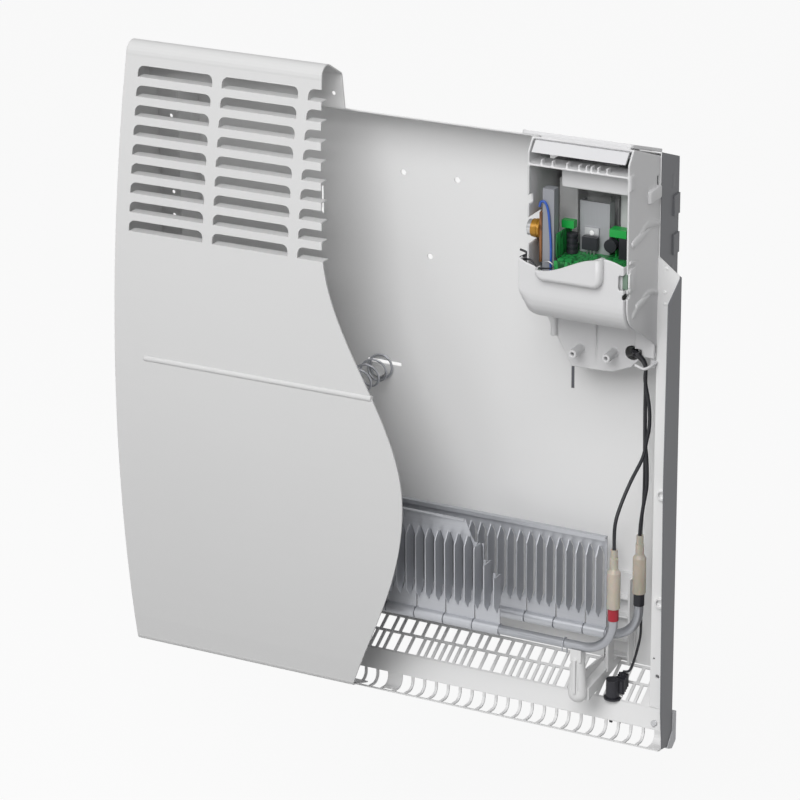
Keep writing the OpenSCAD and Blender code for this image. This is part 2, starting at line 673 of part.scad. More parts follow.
// A raised S on the right wall
module rib_s(x, z) {
  dz = z - 238;
  along_x(x - 0.2, x + 0.8)
    polygon([[-71, 368.6 + dz], [-70, 371.4 + dz], [-62, 374.4 + dz], [-54, 378.4 + dz],
      [-47, 379.6 + dz], [-38, 377.6 + dz], [flange_y - 1.3, 374.2 + dz],
      [flange_y - 1.3, 372 + dz], [-38, 375 + dz],
      [-47, 376.4 + dz], [-54, 375 + dz], [-61, 371.4 + dz], [-68, 368 + dz]]);
}
belly_r = box_r - wall - 0.2;
module rounded_belly(d, x0) {
  r = 20;
  side_r = 9;
  hull() {
    for (a = [180, 205, 230])
      translate([x0 + side_r, box_front - 3 + r + (r - side_r) * cos(a),
        310 + r + (r - side_r) * sin(a)]) sphere(r = side_r - d);
    translate([x0 + side_r, tail_y - side_r, 303 + side_r]) sphere(r = side_r - d);
    translate([x0 + side_r, box_front - 3 + r, 310 + r]) rotate([0, 90, 0])
      cylinder(r = r - d, h = belly_r - x0 - side_r - d * 0.5);
    block([x0 + d, box_front - 3 + d, 332], [belly_r - d * 0.5, box_front + 26, 372]);
    block([x0 + side_r + d, tail_y - 1, 301 + d], [belly_r - d * 0.5, tail_y + 1, 372]);
    block([x0 + d, tail_y - 1, 314 + d], [belly_r - d * 0.5, tail_y + 1, 372]);
  }
}
module control_front_cover() {
  x0 = box_l - 4.6;
  color("whitesmoke")
    difference() {
      union() {
        difference() {
          rounded_belly(0, x0);
          rounded_belly(wall, x0);
        }
        raised_block(0);
      }
      raised_block(wall);
      along_y(-140, 0)
        polygon(concat([for (i = [0 : 30]) let (x = x0 - 4 + i * (box_w + 10) / 30) [x, wavy_z(x)]],
          [[box_r + 8, 420], [x0 - 4, 420]]));
      block([x0 - 1, tail_y - 0.2, 280], [box_r + 1, 0, 400]);
      block([x0 - 1, box_front + 22, 336], [box_r + 1, 0, 400]);
      block([box_r - 5.4, box_front - 4, 342], [box_r + 1, box_front + 1.6, 352]);
      block([box_r - 2.6, box_front - 4, 335.5], [box_r + 1, box_front + 3, 339]);
    }
}
module raised_block(d) {
  hull() {
    for (x = [box_l + 12, box_l + 49 - d * 0.6])
      translate([x, box_front - 5, 348 + d]) {
        cylinder(r = 3.4 - d * 0.5, h = 40);
        sphere(r = 3.4 - d * 0.5);
      }
    block([box_l + 9 + d, box_front - 2, 343.5 + d], [box_l + 54 - d, box_front + 1, 384]);
  }
}
// Lower part of the box that carries the cable outlet
module tail_outline(d) {
  translate([box_l, 0])
    polygon([[d - 10.6, 302], [11 + d, 264 + d], [40 - d, 264.6 + d], [54, 270.2 + d],
      [60 - d, 276], [60 - d, 300], [60 - d, 308], [d - 10.6, 308]]);
}
module control_tail() {
  color("whitesmoke")
    difference() {
      union() {
        along_y(tail_y, box_back) tail_outline(0);
        for (p = boss_pts) rod([p[0], tail_y - 14, p[1]], 3.1, 14.5, "y");
        along_x(box_l + 28.6, box_l + 29.6) polygon([[tail_y - 3, 300], [tail_y, 268], [tail_y + 1, 268],
          [tail_y + 1, 300]]);
        rod([box_l - 1.4, -32.6, 284.6], 2.3, 16);
      }
      along_y(tail_y + wall, box_back + 1) tail_outline(wall);
      for (p = boss_pts) rod([p[0], tail_y - 15, p[1]], 1.3, 14, "y");
      rod([box_l + 55, tail_y - 3, 280.6], 5, 8, "y");
    }
}
module upper_front_panel() {
  z1 = lid_z(box_front + 7) - 4.4;
  color("white") {
    along_x(box_l + 3.2, box_r - 3)
      polygon([[box_front - 0.4, panel_z], [box_front + 5.6, z1], [box_front + 7.6, z1],
        [box_front + 1.6, panel_z]]);
  }
}
// Places a shape on the sloping bezel: X across, Y up the slope to the wall, Z out of it
module on_bezel(x, v) {
  translate([x, bezel_front[0], bezel_front[1]]) rotate([-bezel_tilt, 0, 0])
    translate([0, v, 0]) children();
}
module control_bezel() {
  color("whitesmoke")
    difference() {
      on_bezel(bezel_x, bezel_l / 2) translate([0, 0, -bezel_t]) linear_extrude(bezel_t)
        difference() {
          offset(r = 3) square([bezel_w - 6, bezel_l - 6], center = true);
          translate([22, 0]) circle(d = knob_dia + 1);
          translate([-9, 0]) square([6.4, 20], center = true);
          translate([-28, 0]) square([13, 20], center = true);
          translate([5, 0]) circle(d = 3.4);
        }
    }
  // Feet on the box, and the two lugs that carry the rocker's pivots
  color("whitesmoke") {
    for (x = [-24, 33]) on_bezel(bezel_x + x, 4) translate([-3, -2, -bezel_t - 1]) cube([6, 4, 1.2]);
    on_bezel(rocker_x, bezel_l / 2) difference() {
      for (k = [-1, 1]) translate([k * 7.3 - 0.7, -2.2, -6]) cube([1.4, 4.4, 6 - bezel_t + 0.2]);
      translate([0, 0, rocker_pivot]) rotate([0, 90, 0]) cylinder(r = 1.05, h = 20, center = true);
    }
  }
}
rocker_pivot = -4;
module thermostat_knob() {
  color("white") on_bezel(knob_x, bezel_l / 2)
    difference() {
      union() {
        translate([0, 0, -3]) cylinder(d = knob_dia, h = 2.9);
        for (i = [0 : 23]) rotate([0, 0, 15 * i])
          translate([knob_dia / 2 - 0.3, -0.5, -2.8]) cube([0.5, 1, 2.4]);
        translate([0, 0, -7]) cylinder(d = 6, h = 5);
      }
      translate([0, knob_dia / 2 - 4.5, -0.3]) cube([1.4, 6, 1], center = true);
      translate([0, 0, -8]) cylinder(d = 3.2, h = 5);
    }
}
module thermostat_potentiometer() {
  color("silver") on_bezel(knob_x, bezel_l / 2) {
    translate([0, 0, -15.4]) cylinder(d = 15, h = 6);
    translate([0, 0, -9.4]) cylinder(d = 3, h = 5.6);
    translate([-4, -11, -15.4]) cube([8, 4, 1]);
  }
}
module mode_slider() {
  color("dimgray") on_bezel(slider_x, bezel_l / 2 - 6) {
    translate([-2.6, -3.5, -3]) cube([5.2, 7, 2.6]);
    for (v = [-2 : 1 : 2]) translate([-2.6, v - 0.2, -0.5]) cube([5.2, 0.4, 0.4]);
    translate([-1.2, -1.2, -5]) cube([2.4, 2.4, 3]);
  }
}
module mode_switch() {
  color("gray") on_bezel(slider_x, bezel_l / 2)
    difference() {
      translate([-5, -11, -11]) cube([10, 22, 7]);
      translate([-1.6, -9, -7]) cube([3.2, 18, 4]);
    }
}
module power_rocker() {
  color("gainsboro") on_bezel(rocker_x, bezel_l / 2)
    rotate([90, 0, 90]) translate([0, 0, -5.8]) linear_extrude(11.6)
      polygon([[-9, -0.2], [0, -1], [9, -0.6], [9, -2.6], [2, -5.4], [-2, -5.4], [-9, -2.6]]);
  color("gainsboro") on_bezel(rocker_x, bezel_l / 2)
    translate([-7.8, 0, rocker_pivot]) rotate([0, 90, 0]) cylinder(r = 1, h = 15.6);
}
module indicator_lens() {
  color("orangered") on_bezel(lens_x, bezel_l / 2) translate([0, 0, -5]) {
    cylinder(d = 3, h = 5);
    cylinder(d = 4.4, h = 2);
  }
}

// Electronics
board_z = 353;
module circuit_board() {
  color("seagreen") difference() {
    block([box_l + 18, box_front + 4.6, board_z - 1.6], [belly_r - 1.4, -12, board_z]);
    block([box_l + 17, box_front + 4, board_z - 4], [box_l + 57, -70, board_z + 4]);
    for (x = [22, 66]) rod([box_l + x, -20, board_z - 5], 1.6, 10);
  }
}
module heatsink() {
  color("silver") {
    block([box_l + 24.8, -50, board_z + 0.1], [box_l + 46, -48, 388]);
    block([box_l + 24.8, -48, board_z + 0.1], [box_l + 26.4, -42, 388]);
    block([box_l + 44.4, -48, board_z + 0.1], [box_l + 46, -42, 388]);
  }
}
module triac_tab() {
  color("lightgray") along_y(-51.2, -50.1) difference() {
    translate([box_l + 28.8, 362]) square([10, 8.8]);
    translate([box_l + 33.8, 367.2]) circle(r = 1.8);
  }
}
module triac_body() {
  color("black") block([box_l + 28.4, -54.8, 356.4], [box_l + 39.2, -51.3, 365]);
}
module triac_legs() {
  color("silver") for (i = [-1, 0, 1])
    block([box_l + 33.4 + i * 2.5, -53, board_z + 0.05], [box_l + 34.2 + i * 2.5, -52.4, 356.4]);
}
module ring_capacitor() {
  color("black") {
    for (i = [0 : 6]) rod([box_l + 21.8, -55, board_z + 0.2 + i * 1.9], i % 2 == 0 ? 3.8 : 3.3, 1.9);
  }
}
module disc_component() {
  color("black") rod([box_l + 49, -56, 361.6], 4.4, 5, "y");
}
module relay() {
  color("black") block([box_l + 54.4, -54, board_z + 0.1], [box_l + 66, -46, 367.2]);
}
module terminal_blocks() {
  color("limegreen") {
    block([box_l + 15.2, -58, 370.4], [box_l + 24, -53, 375.6]);
    block([box_l + 47.6, -54, 367.4], [box_l + 59.6, -46, 372.6]);
    block([box_l + 50.4, -50.6, board_z + 0.1], [box_l + 51.4, -47, 368.4]);
    block([box_l + 18.4, -51.4, board_z + 0.1], [box_l + 19.4, -50.6, 371.4]);
    block([box_l + 18.4, -53.2, 370.4], [box_l + 19.4, -50.6, 371.4]);
  }
}
module inner_partition() {
  color("lightgray") block([box_l + 8.2, box_front + 6.5, 330], [box_l + 16.4, box_front + 13.5, 400]);
}
module side_board() {
  color("sienna") block([box_l + 6.4, box_front + 5.5, 350], [box_l + 8, box_front + 26.5, 384]);
}
module choke_coil() {
  color("goldenrod") {
    rod([box_l + 0.4, box_front + 9.5, 371.4], 6, 5.9, "x");
    rod([box_l + 2.4, box_front + 9.5, 371.4], 6.3, 2, "x");
  }
}
module choke_cap() {
  color("silver") rod([box_l - 2.4, box_front + 9.5, 371.4], 5.4, 2.7, "x");
}
blue_points = [[124.4, -73.1, 343], [124.8, -73.1, 350], [124.8, -73.1, 362],
  [123.8, -73.1, 376], [122.6, -73.1, 386], [120.4, -73.1, 391], [117.6, -73.1, 391],
  [116.6, -73, 387.6]];
module blue_wire() {
  color("royalblue")
    swept_tube(smooth([for (p = blue_points) p + [box_l - 110, box_front + 78.5, 0]], 4), 0.8, 8);
}
module housing_screws() {
  color("silver") for (x = [22, 66]) {
    rod([box_l + x, -20, board_z + 0.1], 2.8, 1.8);
    rod([box_l + x, -20, board_z - 4], 1.2, 4.2);
  }
}

// Wiring below the box
module cable_clip() {
  color("whitesmoke") {
    block([tray_x - 7.4, -41, 267.6], [tray_x - 5, -sheet, 270]);
    block([tray_x - 16, -41, 267.6], [tray_x - 5, -39.2, 270]);
    block([tray_x - 16, -41, 267.6], [tray_x - 14.4, -39.2, 274]);
  }
}
front_route = [[162, -16, 280], [162.6, -30, 279], [166.4, -37.5, 274.5], [169.6, -33, 267],
  [171, -27, 253], [171, -24, 232], [171, -28, 207], [168.5, -38, 184], [166.6, -49, 167],
  [165.7, -57, 156], [166.6, front_tube_y, 148], [166.6, front_tube_y, 140]];
back_route = [[165, -14, 283], [165.6, -30, 281.4], [170, -36, 277.4], [173.6, -30, 268.6],
  [174, -22, 254], [173.4, -19, 232], [171.4, -20, 206], [169.8, -22, 176],
  [169.6, element_y, 152], [169.6, element_y, 140]];
probe_route = [[169.5, -7, 266], [172.2, -9, 240], [172.8, -9, 200], [174.6, -9, 150],
  [176, -13, 110], [175.6, -16, 84], [172.4, -19, 62], [165.4, -21, 49], [159.6, -22, 44.4],
  [158.4, -22, 42.2]];
// Moves a route with the side of the tray, and its upper end with the control box
function held(route) = [for (p = route) p + [tray_x - 183, 0, p[2] > 230 ? lift : 0]];
module front_lead() { color("black") swept_tube(smooth(held(front_route), 5), 1.25, 8); }
module back_lead() { color("black") swept_tube(smooth(held(back_route), 5), 1.25, 8); }
module probe_lead() { color("black") swept_tube(smooth(held(probe_route), 7), 0.9, 8); }
// Temperature probe, clipped through the front edge of the floor
probe_x = tray_x - 29.6;
probe_y = flange_y + 1;
module above_floor() {
  rise = floor_rise / (tray_d - 1.2);
  difference() {
    children();
    along_x(probe_x - 20, probe_x + 20)
      polygon([[flange_y - 0.1, 0], [flange_y - 0.1, floor_z + 1.4],
        [0, floor_z + 1.4 + rise * tray_d], [0, 0]]);
  }
}
module probe_body() {
  color("black") above_floor() {
    rod([probe_x, probe_y, floor_z + 2.6], 4.8, 13);
    for (i = [0 : 3])
      block([probe_x + 1, probe_y + 1 + i * 2.2, floor_z + 5 + i],
        [probe_x + 8, probe_y + 2.2 + i * 2.2, floor_z + 16 + i * 0.6]);
    block([probe_x + 2, probe_y, floor_z + 6], [probe_x + 7.2, probe_y + 9.6, floor_z + 15]);
    rod([probe_x + 5, probe_y + 6, floor_z + 13], 1.9, 6);
  }
}
module probe_clip() {
  color("black") {
    above_floor() difference() {
      rod([probe_x, probe_y, floor_z + 1.3], 6.3, 1.2);
      block([probe_x - 9, probe_y + 3.5, 0], [probe_x + 9, probe_y + 9, 60]);
    }
    for (dx = [-2.6, 3.4])
      block([probe_x + dx, flange_y + 1.6, 4], [probe_x + dx + 2, flange_y + 3, floor_z + 2.6]);
  }
}
// Rubber bush where the supply cord would enter through the back
module cord_bush() {
  color("black") difference() {
    union() {
      rod([bush_x, -sheet - 1.4, 300], 6.6, 1.2, "y");
      rod([bush_x, -sheet - 0.2, 300], 5, sheet + 0.2, "y");
    }
    rod([bush_x, -5, 300], 3.4, 10, "y");
  }
}

placed() back_panel();
placed() bottom_grille();
placed() front_cover();
placed() cover_side_strip();
placed() cover_screws();
placed() corner_cap_right();
placed() corner_cap_left();
placed() earth_spring();
placed() spring_seat();
placed() heating_tube();
placed() back_fin_blade();
placed() front_fin_blade();
placed() element_support_right();
placed() element_support_left();
placed() element_clips();
placed() front_terminal_sleeve();
placed() back_terminal_sleeve();
placed() terminal_pins();
placed() front_terminal_band();
placed() back_terminal_band();
hung() control_housing();
hung() control_front_cover();
hung() control_tail();
hung() upper_front_panel();
hung() control_bezel();
hung() thermostat_knob();
hung() thermostat_potentiometer();
hung() mode_slider();
hung() mode_switch();
hung() power_rocker();
hung() indicator_lens();
hung() circuit_board();
hung() heatsink();
hung() triac_tab();
hung() triac_body();
hung() triac_legs();
hung() ring_capacitor();
hung() disc_component();
hung() relay();
hung() terminal_blocks();
hung() inner_partition();
hung() side_board();
hung() choke_coil();
hung() choke_cap();
hung() blue_wire();
hung() housing_screws();
hung() cable_clip();
placed() front_lead();
placed() back_lead();
placed() probe_lead();
placed() probe_body();
placed() probe_clip();
hung() cord_bush();
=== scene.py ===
"""Wall-hung electric convector heater, cut away to show its inside.

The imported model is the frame: its solids stay where they are and get their
finishes here. The round tubes, the spring and the wires are drawn again with
smooth surfaces close to their solids' routes, and the box's mouldings with
rounded edges. Sizes in the classes below are in millimetres, measured as in the
part's source (Z from the bottom lip).
"""

from __future__ import annotations

import json
import logging
import math
from dataclasses import dataclass
from enum import Enum
from typing import Dict, Iterable, List, Optional, Sequence, Tuple, Union

import bmesh
import bpy
from mathutils import Matrix, Vector

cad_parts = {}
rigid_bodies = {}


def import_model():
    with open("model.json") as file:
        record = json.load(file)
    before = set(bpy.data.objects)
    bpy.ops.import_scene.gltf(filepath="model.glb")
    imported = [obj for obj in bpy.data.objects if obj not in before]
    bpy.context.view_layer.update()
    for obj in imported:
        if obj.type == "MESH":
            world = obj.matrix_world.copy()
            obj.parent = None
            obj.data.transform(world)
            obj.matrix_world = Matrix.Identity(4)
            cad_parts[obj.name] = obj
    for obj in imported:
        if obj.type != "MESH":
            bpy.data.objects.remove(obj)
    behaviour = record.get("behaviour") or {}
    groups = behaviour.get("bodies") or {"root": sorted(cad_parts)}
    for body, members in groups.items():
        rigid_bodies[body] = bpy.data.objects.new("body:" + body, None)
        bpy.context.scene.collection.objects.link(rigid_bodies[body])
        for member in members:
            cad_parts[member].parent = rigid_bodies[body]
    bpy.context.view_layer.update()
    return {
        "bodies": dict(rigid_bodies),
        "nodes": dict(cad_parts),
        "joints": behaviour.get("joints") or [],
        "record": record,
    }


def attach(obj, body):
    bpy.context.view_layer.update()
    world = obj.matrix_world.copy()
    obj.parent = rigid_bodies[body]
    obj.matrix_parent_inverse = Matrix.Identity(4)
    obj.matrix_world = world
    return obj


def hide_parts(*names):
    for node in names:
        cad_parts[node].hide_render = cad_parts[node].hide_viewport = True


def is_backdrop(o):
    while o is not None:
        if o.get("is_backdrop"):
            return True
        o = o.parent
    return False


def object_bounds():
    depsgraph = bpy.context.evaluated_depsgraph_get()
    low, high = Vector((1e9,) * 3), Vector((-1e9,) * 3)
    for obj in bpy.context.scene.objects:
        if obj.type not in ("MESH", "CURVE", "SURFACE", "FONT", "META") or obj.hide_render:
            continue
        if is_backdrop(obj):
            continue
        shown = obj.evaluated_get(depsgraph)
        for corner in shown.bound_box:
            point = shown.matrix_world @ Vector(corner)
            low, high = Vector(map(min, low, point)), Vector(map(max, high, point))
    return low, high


LOG = logging.getLogger("convector")
Triple = Tuple[float, float, float]
Screen = Tuple[int, int, int]
Colour = Tuple[float, float, float, float]
Route = Tuple[Triple, ...]
MM = 0.001
MOUNT_HEIGHT = 372.0
HEATER = "heater"
SIDE_GREY = (112, 113, 117)


class Along(Enum):
    """Directions in which drawn or brushed metal is streaked."""

    X = (2.0, 60.0, 60.0)
    Y = (60.0, 2.0, 60.0)
    Z = (60.0, 60.0, 2.0)


def place(point: Sequence[float]) -> Vector:
    """Turn a point in millimetres above the bottom lip into the row frame.

    Args:
        point: X, Y and Z in millimetres, as in the part's source.

    Returns:
        The same point in metres, with Z from the wall screws.
    """
    return Vector((point[0] * MM, point[1] * MM, (point[2] - MOUNT_HEIGHT) * MM))


def tone(colour: Screen) -> Colour:
    """Turn a screen colour into the linear colour that a shader takes.

    Args:
        colour: Red, green and blue, each from 0 to 255.

    Returns:
        The linear colour with an alpha of one.
    """
    shares = [value / 255.0 for value in colour]
    return (*(share / 12.92 if share <= 0.04045 else ((share + 0.055) / 1.055) ** 2.4
              for share in shares), 1.0)


def shade(colour: Colour, factor: float) -> Colour:
    """Scale a linear colour's channels and leave its alpha at one."""
    red, green, blue = (channel * factor for channel in colour[:3])
    return (red, green, blue, 1.0)


class Graph:
    """The node graph of one material, with a few short ways to extend it."""

    def __init__(self, name: str) -> None:
        """Make the material with an empty surface shader.

        Args:
            name: The material's name.
        """
        self.material = bpy.data.materials.new(name)
        self.material.use_nodes = True
        self.tree = self.material.node_tree
        self.tree.nodes.clear()
        self.output = self.tree.nodes.new("ShaderNodeOutputMaterial")
        self.surface = self.tree.nodes.new("ShaderNodeBsdfPrincipled")
        self.tree.links.new(self.surface.outputs["BSDF"], self.output.inputs["Surface"])
        self.normal: Optional[bpy.types.NodeSocket] = None

    def add(self, kind: str, **values: object) -> bpy.types.Node:
        """Add a node and set its options and inputs.

        Args:
            kind: The node's type.
            values: Options by attribute name, or inputs with spaces as underscores.

        Returns:
            The new node.
        """
        node = self.tree.nodes.new(kind)
        for key, value in values.items():
            if hasattr(node, key):
                setattr(node, key, value)
            else:
                node.inputs[key.replace("_", " ")].default_value = value
        return node

    def link(self, start: bpy.types.NodeSocket, end: bpy.types.NodeSocket) -> None:
        """Join two sockets."""
        self.tree.links.new(start, end)

    def fix(self, **values: object) -> None:
        """Set inputs of the surface shader, with spaces as underscores."""
        for key, value in values.items():
            self.surface.inputs[key.replace("_", " ")].default_value = value

    def place_in_object(self, stretch: Triple = (1.0, 1.0, 1.0)) -> bpy.types.NodeSocket:
        """Give object coordinates, stretched along the axes.

        Args:
            stretch: Scale along X, Y and Z.

        Returns:
            The vector socket.
        """
        spot = self.add("ShaderNodeTexCoord")
        scale = self.add("ShaderNodeMapping")
        scale.inputs["Scale"].default_value = stretch
        self.link(spot.outputs["Object"], scale.inputs["Vector"])
        return scale.outputs["Vector"]

    def noise(self, scale: float, detail: float = 3.0, stretch: Triple = (1.0, 1.0, 1.0)
              ) -> bpy.types.NodeSocket:
        """Add noise in object space.

        Args:
            scale: Noise scale, per metre.
            detail: Octaves of detail.
            stretch: Scale along the axes, for streaks.

        Returns:
            The noise value's socket.
        """
        grain = self.add("ShaderNodeTexNoise", Scale=scale, Detail=detail, Roughness=0.55)
        self.link(self.place_in_object(stretch), grain.inputs["Vector"])
        return grain.outputs["Fac"]

    def blend(self, amount: bpy.types.NodeSocket,
              first: Union[Colour, bpy.types.NodeSocket], second: Colour
              ) -> bpy.types.NodeSocket:
        """Blend two colours by a value.

        Args:
            amount: Socket that runs from 0 to 1.
            first: Linear colour at 0, or the socket that gives it.
            second: Linear colour at 1.

        Returns:
            The blended colour's socket.
        """
        mix = self.add("ShaderNodeMix", data_type="RGBA")
        start, end = (socket for socket in mix.inputs if socket.type == "RGBA")
        if isinstance(first, bpy.types.NodeSocket):
            self.link(first, start)
        else:
            start.default_value = first
        end.default_value = second
        self.link(amount, mix.inputs["Factor"])
        return [s for s in mix.outputs if s.type == "RGBA"][0]

    def step(self, value: bpy.types.NodeSocket, low: float, high: float
             ) -> bpy.types.NodeSocket:
        """Map a value to 0 at low and 1 at high, clamped.

        Args:
            value: The incoming value.
            low: Where the result is 0.
            high: Where the result is 1.

        Returns:
            The mapped value's socket.
        """
        ramp = self.add("ShaderNodeMapRange", clamp=True)
        ramp.inputs["From Min"].default_value = low
        ramp.inputs["From Max"].default_value = high
        self.link(value, ramp.inputs["Value"])
        return ramp.outputs["Result"]

    def colour(self, socket: bpy.types.NodeSocket) -> None:
        """Use a colour socket for the base colour."""
        self.link(socket, self.surface.inputs["Base Color"])

    def roughness(self, value: bpy.types.NodeSocket, low: float, high: float) -> None:
        """Vary the roughness between two values with a socket."""
        ramp = self.add("ShaderNodeMapRange", clamp=True)
        ramp.inputs["To Min"].default_value = low
        ramp.inputs["To Max"].default_value = high
        self.link(value, ramp.inputs["Value"])
        self.link(ramp.outputs["Result"], self.surface.inputs["Roughness"])

    def soft_edges(self, radius_mm: float) -> None:
        """Round the shading of edges, as a folded or moulded edge is round."""
        edge = self.add("ShaderNodeBevel", samples=4, Radius=radius_mm * MM)
        self.normal = edge.outputs["Normal"]
        self.link(self.normal, self.surface.inputs["Normal"])

    def relief(self, height: bpy.types.NodeSocket, depth_mm: float, strength: float = 1.0
               ) -> None:
        """Add relief to the surface.

        Args:
            height: Height from 0 to 1.
            depth_mm: What a height of 1 stands for.
            strength: Strength of the relief.
        """
        bump = self.add("ShaderNodeBump", Strength=strength, Distance=depth_mm * MM)
        self.link(height, bump.inputs["Height"])
        if self.normal is not None:
            self.link(self.normal, bump.inputs["Normal"])
        self.normal = bump.outputs["Normal"]
        self.link(self.normal, self.surface.inputs["Normal"])


@dataclass(frozen=True)
class PaintedSteel:
    """Powder-coated sheet, with another tone outside a given half width."""

    name: str
    paint: Screen
    outer: Optional[Screen] = None
    outer_from: float = 0.0
    roughness: float = 0.42

    def make(self) -> bpy.types.Material:
        """Build the material.

        Returns:
            The finished material.
        """
        graph = Graph(self.name)
        cloud = graph.noise(9.0, 2.0)
        base = tone(self.paint)
        coat = graph.blend(cloud, shade(base, 0.965), base)
        if self.outer is not None:
            spot = graph.add("ShaderNodeTexCoord")
            split = graph.add("ShaderNodeSeparateXYZ")
            graph.link(spot.outputs["Object"], split.inputs["Vector"])
            size = graph.add("ShaderNodeMath", operation="ABSOLUTE")
            graph.link(split.outputs["X"], size.inputs[0])
            side = graph.step(size.outputs[0], self.outer_from * MM,
                              (self.outer_from + 0.1) * MM)
            coat = graph.blend(side, coat, tone(self.outer))
        graph.colour(coat)
        graph.roughness(cloud, self.roughness - 0.05, self.roughness + 0.05)
        graph.fix(Specular_IOR_Level=0.35)
        graph.soft_edges(0.5)
        graph.relief(graph.noise(900.0, 2.0), 0.012, 0.5)
        return graph.material


@dataclass(frozen=True)
class MouldedPlastic:
    """Moulded plastic with a fine spark-eroded grain and rounded edges."""

    name: str
    resin: Screen
    roughness: float = 0.4
    grain_mm: float = 0.01
    edge_mm: float = 0.35
    through: float = 0.0

    def make(self) -> bpy.types.Material:
        """Build the material.

        Returns:
            The finished material.
        """
        graph = Graph(self.name)
        cloud = graph.noise(35.0, 2.0)
        base = tone(self.resin)
        graph.colour(graph.blend(cloud, shade(base, 0.95), base))
        graph.roughness(cloud, self.roughness - 0.04, self.roughness + 0.06)
        graph.fix(Specular_IOR_Level=0.4, IOR=1.5)
        if self.through > 0.0:
            graph.fix(Subsurface_Weight=self.through, Subsurface_Scale=0.002)
        graph.soft_edges(self.edge_mm)
        graph.relief(graph.noise(2600.0, 2.0), self.grain_mm, 0.6)
        return graph.material


@dataclass(frozen=True)
class DrawnMetal:
    """Plain metal, streaked along the way in which it was drawn or rolled."""

    name: str
    metal: Screen
    roughness: float = 0.36
    along: Along = Along.X
    metallic: float = 1.0
    streaks: float = 0.18
    edge_mm: float = 0.25

    def make(self) -> bpy.types.Material:
        """Build the material.

        Returns:
            The finished material.
        """
        graph = Graph(self.name)
        streak = graph.noise(14.0, 4.0, self.along.value)
        stain = graph.noise(28.0, 3.0)
        base = tone(self.metal)
        graph.colour(graph.blend(streak, shade(base, 1.0 - self.streaks), base))
        graph.roughness(stain, self.roughness - 0.07, self.roughness + 0.1)
        graph.fix(Metallic=self.metallic)
        graph.soft_edges(self.edge_mm)
        graph.relief(streak, 0.02, 0.35)
        return graph.material


@dataclass(frozen=True)
class CableJacket:
    """Extruded jacket of a wire, slightly glossy and slightly uneven."""

    name: str
    jacket: Screen
    roughness: float = 0.34

    def make(self) -> bpy.types.Material:
        """Build the material.

        Returns:
            The finished material.
        """
        graph = Graph(self.name)
        wander = graph.noise(120.0, 2.0)
        base = tone(self.jacket)
        lighter = tuple(min(1.0, channel * 1.5 + 0.004) for channel in base[:3]) + (1.0,)
        graph.colour(graph.blend(wander, base, lighter))
        graph.roughness(wander, self.roughness, self.roughness + 0.12)
        graph.fix(Specular_IOR_Level=0.5)
        graph.relief(wander, 0.03, 0.4)
        return graph.material


@dataclass(frozen=True)
class SleeveRubber:
    """Clear cream sleeve over a terminal, with light passing through it."""

    name: str
    rubber: Screen

    def make(self) -> bpy.types.Material:
        """Build the material.

        Returns:
            The finished material.
        """
        graph = Graph(self.name)
        haze = graph.noise(160.0, 3.0)
        base = tone(self.rubber)
        graph.colour(graph.blend(haze, shade(base, 0.85), base))
        graph.roughness(haze, 0.28, 0.42)
        graph.fix(Transmission_Weight=0.5, IOR=1.41, Subsurface_Weight=0.3,
                  Subsurface_Scale=0.003)
        graph.relief(haze, 0.05, 0.4)
        return graph.material


@dataclass(frozen=True)
class BoardLaminate:
    """Solder-masked circuit board with tracks and pads in low relief."""

    name: str
    mask: Screen
    track: Screen

    def make(self) -> bpy.types.Material:
        """Build the material.

        Returns:
            The finished material.
        """
        graph = Graph(self.name)
        tracks = graph.add("ShaderNodeTexVoronoi", feature="DISTANCE_TO_EDGE", Scale=260.0)
        graph.link(graph.place_in_object((1.0, 1.0, 0.2)), tracks.inputs["Vector"])
        line = graph.step(tracks.outputs["Distance"], 0.05, 0.11)
        pads = graph.add("ShaderNodeTexVoronoi", Scale=330.0)
        graph.link(graph.place_in_object((1.0, 1.0, 0.2)), pads.inputs["Vector"])
        graph.colour(graph.blend(line, tone(self.track), tone(self.mask)))
        graph.roughness(graph.step(pads.outputs["Distance"], 0.1, 0.3), 0.18, 0.4)
        graph.fix(Specular_IOR_Level=0.5)
        graph.relief(line, 0.05, 0.7)
        return graph.material


@dataclass(frozen=True)
class WoundFilm:
    """Lacquered wire wound side by side, as on a choke, with painted shade between the turns.
    """

    name: str
    wire: Screen

    def make(self) -> bpy.types.Material:
        """Build the material.

        Returns:
            The finished material.
        """
        graph = Graph(self.name)
        turns = graph.add("ShaderNodeTexWave", bands_direction="X", Scale=420.0,
                          Distortion=0.6)
        graph.link(graph.place_in_object(), turns.inputs["Vector"])
        base = tone(self.wire)
        # The darker bands are painted shade in the grooves between the turns.
        graph.colour(graph.blend(turns.outputs["Fac"], shade(base, 0.45), base))
        graph.fix(Roughness=0.3, Metallic=0.35)
        graph.relief(turns.outputs["Fac"], 0.15, 0.6)
        return graph.material


